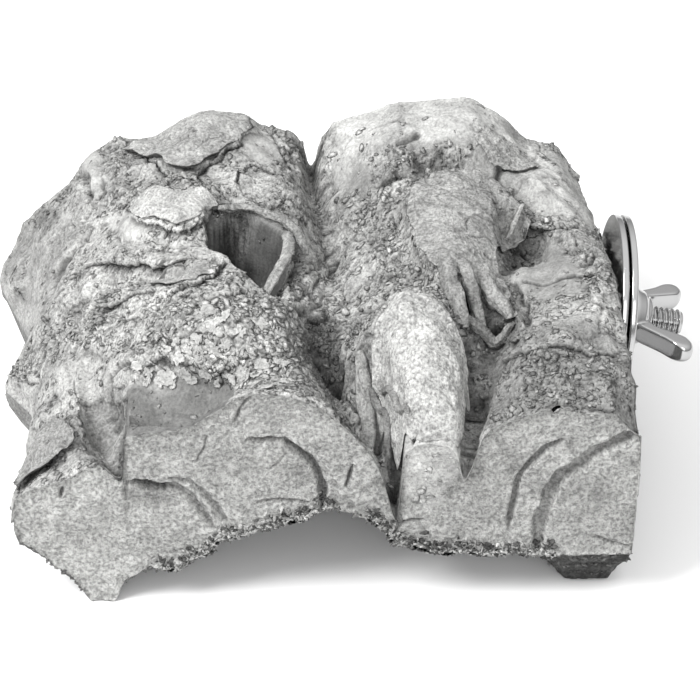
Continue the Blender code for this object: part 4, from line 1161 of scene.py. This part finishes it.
def steel_material(name, tone, roughness):
    """Bright plated steel with a faintly uneven gloss and fine scratches."""
    material, tree, shader = new_material(name)
    shader.inputs["Metallic"].default_value = 1.0
    shader.inputs["Base Color"].default_value = (*tone, 1)
    place = node(tree, "ShaderNodeTexCoord").outputs["Object"]
    cloud = noise_of(tree, place, Scale=180.0, Detail=4.0, Roughness=0.6)
    gloss = ranged(tree, cloud, 0.3, 0.7, roughness * 0.7, roughness * 1.5)
    tree.links.new(gloss, shader.inputs["Roughness"])
    scratch = noise_of(tree, place, Scale=1400.0, Detail=2.0, Roughness=0.5)
    push = wired(tree, "ShaderNodeBump", {"Height": scratch}, Strength=0.25, Distance=0.00002)
    tree.links.new(push.outputs["Normal"], shader.inputs["Normal"])
    return material


MATERIALS = {}


def finish(kind):
    """A finish by its kind, in the panel's colours, made once."""
    if kind not in MATERIALS:
        hues = bpy.context.scene.cork_colours
        if kind == "steel":
            MATERIALS[kind] = steel_material("bright steel", hues.steel, STEEL_ROUGHNESS)
        else:
            dark, light = getattr(hues, kind + "_dark"), getattr(hues, kind + "_light")
            MATERIALS[kind] = bark_material(dark=dark, light=light, **BARK_FINISHES[kind])
    return MATERIALS[kind]


HALVES = {}


def half(left):
    """A dressed half of the slab, worked out once."""
    if left not in HALVES:
        HALVES[left] = dressed(left)
    return HALVES[left]


def build_bark():
    """The slab in two closed halves that meet in the fissure, with crust, sawn and lower faces."""
    for left, name in ((True, "bark_left"), (False, "bark_right")):
        points, _, kind, shade, calm = half(left)
        columns, rows = points.shape[:2]
        turn = FACE_ROWS + TOP_ROWS + BACK_ROWS - 1
        sides = quads(columns, rows)
        slots = np.take([0, 1, 1, 2], kind.reshape(-1)[sides[:, 0]])
        walls = np.concatenate([end_wall(points[0], 0, turn, True),
                                end_wall(points[-1], (columns - 1) * rows, turn, False)])
        slots = np.concatenate([slots, np.zeros(len(walls))])
        thing = put_mesh(name, to_frame(points).reshape(-1, 3), [sides, walls],
                         [finish("crust"), finish("sawn"), finish("under")], slots, shade)
        put_values(thing.data, "calm", calm)
        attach(thing, "platform")
        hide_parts("cork_bark")


def shell(rings):
    """Vertices and faces of closed rings joined one to the next, with a fan over each end."""
    count, around = rings.shape[:2]
    ends = np.stack([rings[0].mean(0), rings[-1].mean(0)])
    vertices = np.concatenate([rings.reshape(-1, 3), ends])
    j = np.arange(around)
    after = (j + 1) % around
    last = (count - 1) * around
    first_fan = np.stack([j * 0 + count * around, after, j], -1)
    last_fan = np.stack([j * 0 + count * around + 1, last + j, last + after], -1)
    return vertices, [quads(count, around)[:, ::-1], np.concatenate([first_fan, last_fan])]


def joined(shells):
    """Several shells as one set of vertices and faces."""
    vertices, by_size, start = [], {3: [], 4: []}, 0
    for points, faces in shells:
        for part in faces:
            by_size[part.shape[1]].append(part + start)
        vertices.append(points)
        start += len(points)
    return np.concatenate(vertices), [np.concatenate(f) for f in by_size.values() if f]


def closed_line(corners, steps, rounds):
    """Points at even steps along a closed line of corners, averaged with their neighbours this
    many times."""
    corners = np.asarray(corners + corners[:1], float)
    run = run_along(corners)
    at = np.linspace(0, run[-1], steps, endpoint=False)
    line = np.stack([np.interp(at, run, corners[:, n]) for n in (0, 1)], -1)
    for _ in range(rounds):
        line = (np.roll(line, 1, 0) + 2 * line + np.roll(line, -1, 0)) / 4
    return line


def plate_shell(outline, centre, middle, rim, tip, thick, below_shade=0.4, seed=5):
    """A loose plate: rings from its centre out to a ragged outline, and back underneath.

    Its top stands over the crust by the rim's height, more towards its middle (as 1 - r squared) and
    more towards the front by its tip. Underneath it is thick at the rim and sunk in the crust nearer
    its centre, and darker: painted shade.
    """
    steps, rings = 260, 34
    line = closed_line(outline, steps, 6)
    place = np.concatenate([line, np.full((steps, 1), seed * 7.0)], -1)
    away = line - np.array(centre)
    away *= (1 + 1.3 * fractal(place, 4.0, seed + 200, 4) / np.linalg.norm(away, axis=1))[:, None]
    r = np.concatenate([np.linspace(0.04, 1, rings) ** 0.75, [1.006, 1.0],
                        np.linspace(0.985, 0.5, 9), [0.2]])[:, None]
    x, y = np.moveaxis(np.array(centre) + r[..., None] * away, -1, 0)
    y = np.clip(y, 0.15, DEPTH - 0.1)
    number = np.arange(len(r))[:, None]
    over = number < rings
    height = rim + middle * (1 - r ** 2) + tip * (centre[1] - y)
    below = height - thick * (0.35 + 0.65 * soft_step((1.0 - r) / 0.1)) - 3.0 * (1 - r)
    lift = np.where(over, height, np.where(number == rings, height - thick * 0.2, below))
    points = np.stack([x, y, top_height(x, y) - nose_drop(x, y) + lift], -1)
    normal = -outward(points.transpose(1, 0, 2)).transpose(1, 0, 2)
    relief = crust_relief(points, 0.5)[0]
    near_rim = np.where(over, 1.0, 0.3) * np.clip((1.0 - r) / 0.04 + 0.25, 0.25, 1)
    points = points + normal * (0.8 * relief * near_rim)[..., None]
    points[..., 1] = np.clip(points[..., 1], 0.1, DEPTH + 0.5)
    # painted shade: the rings underneath take only a share of the tone
    shade = painted_hollow_shade(relief, ((1, 0.3), (4, 0.6))) * np.where(over, 1.0, below_shade)
    return points, shade


def build_plates():
    """The loose plates, each a piece of its own."""
    for seed, (name, facts) in enumerate(PLATES.items(), 5):
        shape = {key: value for key, value in facts.items() if key != "tone"}
        points, shade = plate_shell(seed=seed, **shape)
        vertices, faces = shell(points)
        # the fan under the plate's middle gets 0.4: painted shade
        shades = np.concatenate([shade.ravel(), [shade[0].mean(), 0.4]]) * facts["tone"]
        thing = put_mesh(name, to_frame(limited(vertices)), faces, [finish("crust")], None, shades)
        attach(thing, "platform")


def strand_shell(path, radii, seed):
    """A strand: rings across a smooth path over the crust, with lengthways ridges and ragged ends."""
    around, along = 20, 70
    path = np.asarray(path, float)
    run = run_along(path)
    at = np.linspace(0, run[-1], along)
    centre = np.stack([through(run, path[:, n], at) for n in range(3)], -1)
    if path[0, 2] <= ON_GROUND:
        centre[:, 2] += top_height(centre[:, 0], centre[:, 1])
    centre[:, 2] = blurred(np.stack([centre[:, 2]] * 3), 4)[1]
    radius = through(run, radii, at)
    way = unit(np.gradient(centre, axis=0))
    side = unit(np.cross(way, [0.0, 0.0, 1.0]))
    upper = np.cross(side, way)
    angle = 2 * np.pi * np.arange(around) / around
    ridges = 1 + 0.16 * np.sin(5 * angle + seed) + 0.1 * np.sin(9 * angle + 2 * seed)
    spread = radius[:, None] * ridges
    points = set_off(centre[:, None], spread * np.cos(angle), side[:, None],
                     spread * np.sin(angle), upper[:, None])
    rough = fractal(points * np.array([1.0, 0.45, 0.45]), 1.1, 300 + seed, 3)
    from_centre = points - centre[:, None]
    points += 0.35 * rough[..., None] * from_centre / np.maximum(spread, 0.1)[..., None]
    return points, 0.85 + 0.3 * rough


def build_strands():
    """The torn strands and the curled rim of the hollow, as one piece."""
    shells, shades = [], []
    for seed, (path, radii, tone) in enumerate(STRANDS):
        points, shade = strand_shell(path, radii, seed)
        shells.append(shell(points))
        shades.append(tone * np.concatenate([shade.ravel(), [0.7, 0.7]]))
    vertices, faces = joined(shells)
    thing = put_mesh("torn_strands", to_frame(limited(vertices)), faces, [finish("crust")], None,
                     np.concatenate(shades))
    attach(thing, "platform")


def seeded_places(left, weight, count, seed):
    """Places on a half's grid, picked by weight with a fixed seed, fewer where the crust is calm:
    their points, normals and shades."""
    here = half(left)
    chance = (weight(here) * (1 - 0.95 * np.clip(1.3 * here.calm, 0, 1))).ravel()
    pick = np.random.default_rng(seed).choice(chance.size, count, p=chance / chance.sum())
    points, normals = (grid.reshape(-1, 3)[pick] for grid in (here.points, here.normals))
    return points, normals, here.shade.ravel()[pick]


def scattered(centres, normals, sizes, flatness, corners, lean, seed):
    """Small closed chips: a rim of uneven corners with a point above and below, each turned at
    random about its normal and leaning a little."""
    uneven = 0.6
    rng = np.random.default_rng(seed)
    count = len(centres)
    normals = unit(normals + lean * rng.normal(size=(count, 3)))
    side = unit(np.cross(normals, rng.normal(size=(count, 3))))
    other = np.cross(normals, side)
    angle = 2 * np.pi * (np.arange(corners) + 0.5 * rng.random((count, corners))) / corners
    reach = sizes[:, None] * (1 - uneven * 0.58 + uneven * rng.random((count, corners)))
    stretch = 1 + 1.3 * uneven * (rng.random((count, 1)) - 0.5)
    rim = set_off(centres[:, None], reach * np.cos(angle) * stretch, side[:, None],
                  reach * np.sin(angle) / stretch, other[:, None])
    bumps = sizes[:, None] * flatness * 0.5 * rng.normal(size=(count, corners))
    rim += bumps[..., None] * normals[:, None]
    thick = normals * (sizes * flatness)[:, None]
    vertices = np.concatenate([rim, (centres + thick)[:, None], (centres - thick)[:, None]], 1)
    j = np.arange(corners)
    after = (j + 1) % corners
    cap = np.concatenate([np.stack([j, after, j * 0 + corners], -1),
                          np.stack([after, j, j * 0 + corners + 1], -1)])
    faces = (np.arange(count)[:, None, None] * (corners + 2) + cap[None]).reshape(-1, 3)
    return vertices.reshape(-1, 3), faces


def build_chips(name, groups, material):
    """Many small chips as one piece, the larger share of each group on the left half. A group gives a
    weight, count, sizes, shape and tone; few_large makes large chips rarer, and follow is how far a
    chip takes the shade of its place, painted shade included."""
    vertices, faces, shades, start = [], [], [], 0
    for number, group in enumerate(groups):
        seed = group.get("seed", 400 + 10 * number)
        for left in (True, False):
            count = int(group["count"] * (0.6 if left else 0.4))
            points, normals, shade = seeded_places(left, group["weight"], count, seed + left)
            rng = np.random.default_rng(seed + 5 + left)
            low, high = group["sizes"]
            sizes = low + (high - low) * rng.random(count) ** group.get("few_large", 2.2)
            raised = points + normals * (sizes * group["lift"])[:, None]
            made, sides = scattered(raised, normals, sizes, group["flatness"], group["corners"],
                                    group["lean"], seed + left)
            vertices.append(made)
            faces.append(sides + start)
            tone = group["tone"] * (0.6 + 0.65 * rng.random(count))
            # each chip takes its place's tone and painted shade
            tone *= np.clip(shade, 0.1, 1.0) ** group.get("follow", 0.5) * np.clip(shade, 1.0, 1.7)
            shades.append(np.repeat(np.clip(tone, 0.04, 1.8), group["corners"] + 2))
            start += len(made)
    thing = put_mesh(name, to_frame(limited(np.concatenate(vertices))), [np.concatenate(faces)],
                     [finish(material)], None, np.concatenate(shades))
    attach(thing, "platform")


def build_discs():
    """The lichen's largest discs, lying over one another in the cluster, each with a raised rim."""
    here = half(True)
    top = slice(FACE_ROWS, FACE_ROWS + TOP_ROWS)
    grid = np.stack([blurred(here.points[:, top, n], 2) for n in range(3)], -1).reshape(-1, 3)
    facing = np.stack([blurred(here.normals[:, top, n], 5) for n in range(3)], -1).reshape(-1, 3)
    nearest = [int(np.argmin(np.hypot(grid[:, 0] - x, grid[:, 1] - y))) for x, y, _ in DISCS]
    rng = np.random.default_rng(77)
    up = unit(facing[nearest] + 0.12 * rng.normal(size=(len(DISCS), 3)))
    middle = grid[nearest] + up * (0.2 + 0.4 * rng.random((len(DISCS), 1)))
    side = unit(np.cross(up, [0.0, 1.0, 0.0]))
    other = np.cross(up, side)
    angle = 2 * np.pi * np.arange(DISC_SIDES) / DISC_SIDES
    ring = np.stack([np.cos(angle), np.sin(angle)], -1)
    shells, shades = [], []
    for number, (_, _, radius) in enumerate(DISCS):
        place = np.concatenate([1.3 * ring, np.full((DISC_SIDES, 1), 9.0 * number)], -1)
        lobes = 0.98 * radius * (1 + 0.95 * fractal(place, 0.9, 530, 3))
        reach = DISC_SHARES[:, None] * lobes
        rings = set_off(middle[number], reach * np.cos(angle), side[number],
                        reach * np.sin(angle), other[number])
        rings += DISC_HEIGHTS[:, None, None] * up[number]
        rings += 0.12 * fractal(rings, 0.9, 540, 2)[..., None] * up[number]
        shells.append(shell(rings))
        tone = 0.92 + 0.3 * rng.random()
        ring_tones = np.repeat(tone * DISC_TONES, DISC_SIDES)
        shades.append(np.concatenate([ring_tones, [tone * DISC_TONES[0], 0.3]]))
    vertices, faces = joined(shells)
    thing = put_mesh("lichen_discs", to_frame(limited(vertices)), faces, [finish("lichen")], None,
                     np.concatenate(shades))
    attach(thing, "platform")


def limited(points):
    """Points kept inside the slab's room."""
    return np.clip(points, LOWEST_CORNER, HIGHEST_CORNER)


def on_crust(here):
    """Everywhere on the crust, more in its roughest parts."""
    patch = np.clip(0.4 + 1.3 * fractal(here.points, 11, 501, 2), 0.02, 1.5)
    return (here.kind == CRUST) * patch * (here.normals[..., 2] > 0.45)


def in_lichen(here):
    """The cluster of scales over the left ridge's front slope, thinning out round it."""
    cluster = covered(here.points[..., 0], here.points[..., 1], LICHEN_CLUSTER, 5.0)
    clumps = np.clip(0.35 + 1.6 * fractal(here.points, 6, 511, 2), 0.0, 1.5)
    return (here.kind == CRUST) * (cluster * clumps + 0.004)


def on_saw_edge(here):
    """The crumbling lower border of the sawn front, on both sides of the tongue."""
    x, _, z = np.moveaxis(here.points, -1, 0)
    low = under_height(x, 0 * x)
    border = np.exp(-((z - low) / 2.0) ** 2) * ((x > -45) & (x < -4) | (x > 4) & (x < 46))
    return (here.kind == SAWN_FRONT) * border * (here.normals[..., 1] < 0)


def in_dark(here):
    """Hollows and crevices of the crust, where crumbs collect."""
    return (here.kind == CRUST) * np.clip(0.9 - here.shade, 0.0, 1) ** 2


def on_underside(here):
    """The coarse underside near the front."""
    near = np.exp(-here.points[..., 1] / 30)
    return (here.kind == UNDERSIDE) * near * (here.points[..., 2] > 2)


def placed(points, place):
    """Points carried through a matrix."""
    return points @ np.array(place.to_3x3()).T + np.array(place.translation)


def turned(profile, steps, place):
    """A closed profile of (radius, distance along the axis) carried round the axis, in metres."""
    profile = np.asarray(profile, float)
    angle = 2 * np.pi * np.arange(steps) / steps
    radius, along = profile[:, 0][:, None], profile[:, 1][:, None]
    points = np.stack([radius * np.cos(angle), radius * np.sin(angle), along + 0 * angle], -1)
    i = steps * np.arange(len(profile))[:, None]
    j = np.arange(steps)[None, :]
    next_i, next_j = np.roll(i, -1), np.roll(j, -1)
    corners = [i + j, i + next_j, next_i + next_j, next_i + j]
    return placed(points.reshape(-1, 3), place), np.stack(corners, -1).reshape(-1, 4)


def axis_frame(start, along):
    """A matrix whose z runs along an axis and whose x points to the back, scaled to metres."""
    side = unit(np.cross([0.0, 0.0, 1.0], along))
    columns = [Vector(side), Vector(np.cross(along, side)), Vector(along)]
    turn = Matrix(columns).transposed().to_4x4()
    return Matrix.Translation(Vector(to_frame(start))) @ turn @ Matrix.Scale(MM, 4)


def washer_section(start, sizes):
    """A washer's section: flat faces, an outer edge rounded by stamping and a sharper bore."""
    rim, bore = sizes["washer_radius"], sizes["washer_hole"]
    far, soft, sharp = start + sizes["washer_thickness"], 0.45, 0.12
    bend = np.linspace(0, np.pi / 2, 7)
    outer = [(rim - soft + soft * math.sin(a), start + soft - soft * math.cos(a)) for a in bend]
    upper = [(rim - soft + soft * math.cos(a), far - soft + soft * math.sin(a)) for a in bend]
    return ([(bore + sharp, start)] + outer + upper
            + [(bore + sharp, far), (bore, far - sharp), (bore, start + sharp)])


def build_washers(sizes):
    """The two broad washers, each turned round the washers' own axis."""
    place = axis_frame(WASHER_CENTRE, direction(WASHER_DROOP, WASHER_YAW))
    second = sizes["washer_thickness"] + sizes["washer_gap"]
    for start, body, node_name in ((0.0, "platform", "inner_washer"),
                                   (second, "outer_washer", "outer_washer")):
        vertices, faces = turned(washer_section(start, sizes), 180, place)
        thing = put_mesh(node_name + "_plate", vertices, [faces[:, ::-1]], [finish("steel")])
        thing.data.set_sharp_from_angle(angle=math.radians(35))
        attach(thing, body)
        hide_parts(node_name)


def build_stud(sizes):
    """The stud: its radius swings between root and crest with the angle and the distance along
    the axis, so that the thread winds up it, and the wood screw inside the cork is coarser."""
    steps, rows = 48, 420
    along = np.linspace(-STUD_IN, STUD_OUT, rows)[:, None]
    angle = (2 * np.pi * np.arange(steps) / steps)[None, :]
    crest, pitch = sizes["stud_radius"], sizes["thread_pitch"]
    root, turn = crest - THREAD_DEPTH, angle / (2 * np.pi)
    fine = np.clip(np.abs((along / pitch - turn) % 1.0 - 0.5) * 2.6 - 0.2, 0, 1)
    coarse = np.clip(1 - np.abs((along / WOOD_PITCH - turn) % 1.0 - 0.5) * 5, 0, 1)
    machine = root + (crest - root) * fine * soft_step((along - 3.2) / 1.2)
    wood = WOOD_CORE + WOOD_DEPTH * coarse
    radius = np.where(along > 0, machine, np.where(along > -4, root, wood))
    radius = np.minimum(radius, crest - np.clip(along - STUD_OUT + 0.8, 0, 1) * 0.75)
    radius = np.minimum(radius, 0.5 + (along + STUD_IN) * 0.65)
    points = np.stack([radius * np.cos(angle), radius * np.sin(angle), along + 0 * angle], -1)
    place = axis_frame(stud_point(), direction(STUD_DROOP))
    vertices, faces = shell(points)
    thing = put_mesh("threaded_stud", placed(vertices, place), [f[:, ::-1] for f in faces],
                     [finish("steel")])
    thing.data.set_sharp_from_angle(angle=math.radians(50))
    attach(thing, "platform")
    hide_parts("hanger_bolt")


def wing_rings(side):
    """One wing: its outline, smoothed, carried through its thickness as rings that draw in
    towards both faces along a superellipse."""
    root, tip, top = NUT_TOP - 1.2, WING_SPREAD, NUT_START + WING_RISE
    outline = [(root, NUT_START + 0.7), (root + 3.2, NUT_START + 1.5), (tip - 3.4, top - 7.2),
               (tip - 0.7, top - 4.2), (tip, top - 2.2), (tip - 0.8, top - 0.6), (tip - 2.8, top),
               (tip - 5.0, top - 1.2), (root + 2.2, NUT_START + NUT_HEIGHT - 0.4),
               (root, NUT_START + NUT_HEIGHT - 1.2)]
    line = closed_line(outline, 90, 4)
    middle = line.mean(0)
    line = middle + 1.03 * (line - middle)
    turn = np.linspace(-np.pi / 2, np.pi / 2, 19)
    depth = 0.5 * WING_THICKNESS * np.sign(np.sin(turn)) * np.abs(np.sin(turn)) ** 0.8
    share = 0.62 + 0.38 * np.abs(np.cos(turn)) ** 0.55
    flat = middle + share[:, None, None] * (line - middle)
    return np.stack([side * flat[..., 0], depth[:, None] + 0 * flat[..., 0], flat[..., 1]], -1)


def build_wing_nut():
    """The wing nut: a turned hub and two wings, fused and softened as a casting is."""
    place = axis_frame(stud_point(), direction(STUD_DROOP)) @ Matrix.Rotation(NUT_TURN, 4, "Z")
    end, round_off = NUT_START + NUT_HEIGHT, 1.2
    across, up = NUT_TOP - round_off, end - round_off
    dome = [(across + round_off * math.cos(a), up + round_off * math.sin(a))
            for a in np.linspace(0, np.pi / 2, 8)]
    profile = [(NUT_BORE, NUT_START), (NUT_BASE - 0.5, NUT_START), (NUT_BASE, NUT_START + 0.5),
               (NUT_BASE - 0.2, NUT_START + 1.8), (NUT_TOP + 0.9, NUT_START + 3.6), *dome,
               (NUT_BORE, end)]
    hub, hub_faces = turned(profile, 72, Matrix.Identity(4))
    right, left = shell(wing_rings(1)), shell(wing_rings(-1))
    left = (left[0], [f[:, ::-1] for f in left[1]])
    vertices, faces = joined([(hub, [hub_faces[:, ::-1]]), right, left])
    thing = put_mesh("wing_nut_casting", vertices, faces, [finish("steel")])
    fuse = thing.modifiers.new("fuse", "REMESH")
    fuse.mode = "VOXEL"
    fuse.voxel_size = CAST_DETAIL
    soften = thing.modifiers.new("soften", "SMOOTH")
    soften.factor = 0.5
    soften.iterations = 4
    depsgraph = bpy.context.evaluated_depsgraph_get()
    solid = bpy.data.meshes.new_from_object(thing.evaluated_get(depsgraph))
    thing.modifiers.clear()
    thing.data = solid
    solid.transform(place)
    solid.shade_smooth()
    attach(thing, "wing_nut")
    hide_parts("wing_nut")


def length(name, description, millimetres):
    """A length a user may change, kept in Blender's unit, with a default in millimetres."""
    return bpy.props.FloatProperty(name=name, description=description, default=millimetres * MM,
                                   min=0.0, precision=5, subtype="DISTANCE", unit="LENGTH")


def amount(name, description, default):
    """A number of pieces a user may change."""
    return bpy.props.IntProperty(name=name, description=description, default=default, min=50)


def colour(name, description, default):
    """A colour a user may change."""
    return bpy.props.FloatVectorProperty(name=name, description=description, default=default,
                                         min=0.0, max=1.0, size=3, subtype="COLOR")


class ClampSizes(bpy.types.PropertyGroup):
    """Sizes of the clamp's hardware."""
    washer_radius: length("Washer radius", "Outer radius of the washers", 21.2)
    washer_hole: length("Washer hole", "Radius of the washers' hole", 5.4)
    washer_thickness: length("Washer thickness", "Thickness of a washer", 1.6)
    washer_gap: length("Washer gap", "Gap between the washers", 0.5)
    stud_radius: length("Stud radius", "Radius over the thread", 3.1)
    thread_pitch: length("Thread pitch", "Distance between crests", THREAD_PITCH)


class BarkLook(bpy.types.PropertyGroup):
    """How much fine stuff lies on the bark."""
    flakes: amount("Flakes", "Number of loose flakes on the crust", 7000)
    scales: amount("Lichen scales", "Number of pale scales", 1500)
    crumbs: amount("Crumbs", "Number of crumbs in crevices and on edges", 9000)


class Colours(bpy.types.PropertyGroup):
    """The finishes' colours: each bark finish runs between a dark and a light one."""
    crust_dark: colour("Crust, dark", "Darker colour of the crust", (0.28, 0.28, 0.274))
    crust_light: colour("Crust, light", "Lighter colour of the crust", (0.455, 0.455, 0.445))
    sawn_dark: colour("Sawn cork, dark", "Darker colour of the sawn faces", (0.43, 0.43, 0.42))
    sawn_light: colour("Sawn cork, light", "Lighter colour of the sawn faces", (0.61, 0.61, 0.596))
    under_dark: colour("Underside, dark", "Darker colour of the underside", (0.08, 0.08, 0.078))
    under_light: colour("Underside, light", "Lighter colour of the underside", (0.26, 0.26, 0.255))
    lichen_dark: colour("Lichen, dark", "Darker colour of the lichen", (0.34, 0.34, 0.333))
    lichen_light: colour("Lichen, light", "Lighter colour of the lichen", (0.46, 0.46, 0.45))
    steel: colour("Steel", "Colour of the clamp's steel", (0.42, 0.42, 0.42))
    floor: colour("Floor", "Colour of the floor", (0.86, 0.86, 0.86))


class CORKPLATFORM_OT_plates(bpy.types.Operator):
    """Build the loose plates that overhang the crust."""
    bl_idname = "corkplatform.plates"
    bl_label = "Loose plates"

    def execute(self, context):
        build_plates()
        return {"FINISHED"}


class CORKPLATFORM_OT_strands(bpy.types.Operator):
    """Build the torn strands and the curled rim."""
    bl_idname = "corkplatform.strands"
    bl_label = "Torn strands"

    def execute(self, context):
        build_strands()
        return {"FINISHED"}


class CORKPLATFORM_OT_flakes(bpy.types.Operator):
    """Scatter loose flakes over the crust."""
    bl_idname = "corkplatform.flakes"
    bl_label = "Flakes"

    def execute(self, context):
        build_chips("crust_flakes", [
            dict(weight=on_crust, count=context.scene.cork_look.flakes, sizes=(0.35, 1.1),
                 flatness=0.12, corners=7, lean=0.1, lift=0.0, tone=0.88)], "crust")
        return {"FINISHED"}


class CORKPLATFORM_OT_lichen(bpy.types.Operator):
    """Scatter pale lichen scales, and lay the largest discs."""
    bl_idname = "corkplatform.lichen"
    bl_label = "Lichen scales"

    def execute(self, context):
        build_chips("lichen_scales", [
            dict(weight=in_lichen, count=context.scene.cork_look.scales, sizes=(0.5, 1.3),
                 flatness=0.12, corners=9, lean=0.09, lift=0.2, tone=1.0, seed=520, follow=0.25)],
            "lichen")
        build_discs()
        return {"FINISHED"}


class CORKPLATFORM_OT_crumbs(bpy.types.Operator):
    """Scatter crumbs in the crevices, along the sawn edges and underneath."""
    bl_idname = "corkplatform.crumbs"
    bl_label = "Crumbs"

    def execute(self, context):
        count = context.scene.cork_look.crumbs
        edge_crumbs = dict(weight=on_saw_edge, sizes=(0.4, 1.0), flatness=0.6, corners=6, lean=1.0,
                           few_large=1.3, follow=0.0)
        build_chips("bark_crumbs", [
            dict(weight=in_dark, count=int(count * 0.5), sizes=(0.2, 0.7), flatness=0.6, corners=5,
                 lean=1.0, lift=0.1, tone=0.8, seed=610),
            dict(edge_crumbs, count=int(count * 0.14), lift=0.15, tone=1.1, seed=630),
            dict(edge_crumbs, count=int(count * 0.12), lift=0.1, tone=0.3, seed=640),
            dict(weight=on_underside, count=int(count * 0.2), sizes=(0.3, 1.0), flatness=0.5,
                 corners=5, lean=0.8, lift=0.1, tone=0.7, seed=650)], "crust")
        return {"FINISHED"}


class CORKPLATFORM_OT_clamp(bpy.types.Operator):
    """Build the washers, the stud and the wing nut."""
    bl_idname = "corkplatform.clamp"
    bl_label = "Clamp"

    def execute(self, context):
        clamp = context.scene.cork_clamp
        sizes = {name: getattr(clamp, name) / MM for name in ClampSizes.__annotations__}
        build_washers(sizes)
        build_stud(sizes)
        build_wing_nut()
        return {"FINISHED"}


class CORKPLATFORM_OT_bark(bpy.types.Operator):
    """Build the slab's crust, sawn faces and underside."""
    bl_idname = "corkplatform.bark"
    bl_label = "Bark slab"

    def execute(self, context):
        build_bark()
        return {"FINISHED"}


class CORKPLATFORM_OT_stage(bpy.types.Operator):
    """Build the pale floor, the soft lights and the camera."""
    bl_idname = "corkplatform.stage"
    bl_label = "Stage"

    def execute(self, context):
        build_stage()
        return {"FINISHED"}


def soft_light(name, spot, size, power):
    """A large square light at a spot in metres, turned to the slab."""
    lamp = bpy.data.lights.new(name, "AREA")
    lamp.size = size
    lamp.energy = power
    thing = bpy.data.objects.new(name, lamp)
    thing.location = spot
    thing.rotation_euler = (Vector(LIT_POINT) - Vector(spot)).to_track_quat("-Z", "Y").to_euler()
    bpy.context.scene.collection.objects.link(thing)


def build_stage():
    """A pale floor under the slab, soft light from above and in front, and the photo's view."""
    scene = bpy.context.scene
    paper, _, shader = new_material("pale floor")
    shader.inputs["Base Color"].default_value = (*scene.cork_colours.floor, 1)
    shader.inputs["Roughness"].default_value = 0.9
    corners = np.array([[-2, -2, 0], [2, -2, 0], [2, 2.5, 0], [-2, 2.5, 0]])
    floor = put_mesh("floor", corners, [np.array([[0, 1, 2, 3]])], [paper])
    soft_light(*KEY_LIGHT)
    soft_light(*FRONT_LIGHT)
    scene.view_settings.view_transform = "Standard"
    world = scene.world or bpy.data.worlds.new("studio")
    scene.world = world
    world.use_nodes = True
    tree = world.node_tree
    sky = tree.nodes["Background"]
    sky.inputs["Color"].default_value = (1, 1, 1, 1)
    way = node(tree, "ShaderNodeTexCoord").outputs["Generated"]
    up = wired(tree, "ShaderNodeSeparateXYZ", {"Vector": way}).outputs["Z"]
    tree.links.new(ranged(tree, up, *SKY_HEIGHTS, *SKY_STRENGTHS), sky.inputs["Strength"])
    lens = bpy.data.cameras.new("camera")
    lens.lens = LENS_MM
    lens.sensor_width = SENSOR_MM
    lens.clip_start = 0.01
    camera = bpy.data.objects.new("camera", lens)
    camera.location = to_frame(EYE)
    camera.rotation_euler = (math.pi / 2 - LOOK_DOWN, 0, 0)
    scene.collection.objects.link(camera)
    scene.camera = camera


class CORKPLATFORM_PT_panel(bpy.types.Panel):
    """The platform's sizes, amounts and colours, and the buttons that build it."""
    bl_label = "Cork platform"
    bl_idname = "CORKPLATFORM_PT_panel"
    bl_space_type = "VIEW_3D"
    bl_region_type = "UI"
    bl_category = "Cork platform"

    def draw(self, context):
        """Lays out every value of the groups, and a button for each operator."""
        for group, kind in GROUPS.items():
            box = self.layout.box()
            for name in kind.__annotations__:
                box.prop(getattr(context.scene, group), name)
        for operator in OPERATORS:
            self.layout.operator(operator.bl_idname)


GROUPS = {"cork_clamp": ClampSizes, "cork_look": BarkLook, "cork_colours": Colours}
OPERATORS = (CORKPLATFORM_OT_bark, CORKPLATFORM_OT_plates, CORKPLATFORM_OT_strands,
             CORKPLATFORM_OT_flakes, CORKPLATFORM_OT_lichen, CORKPLATFORM_OT_crumbs,
             CORKPLATFORM_OT_clamp, CORKPLATFORM_OT_stage)
CLASSES = (*GROUPS.values(), *OPERATORS, CORKPLATFORM_PT_panel)


def register():
    """Makes the groups, the buttons and the panel known."""
    for cls in CLASSES:
        bpy.utils.register_class(cls)
    for name, kind in GROUPS.items():
        setattr(bpy.types.Scene, name, bpy.props.PointerProperty(type=kind))


def unregister():
    """Takes the groups, the buttons and the panel away again."""
    for name in GROUPS:
        delattr(bpy.types.Scene, name)
    for cls in reversed(CLASSES):
        bpy.utils.unregister_class(cls)


def main():
    """Builds everything in order."""
    register()
    bpy.ops.corkplatform.bark()
    bpy.ops.corkplatform.plates()
    bpy.ops.corkplatform.strands()
    bpy.ops.corkplatform.flakes()
    bpy.ops.corkplatform.lichen()
    bpy.ops.corkplatform.crumbs()
    bpy.ops.corkplatform.clamp()
    bpy.ops.corkplatform.stage()


if __name__ == "__main__":
    main()
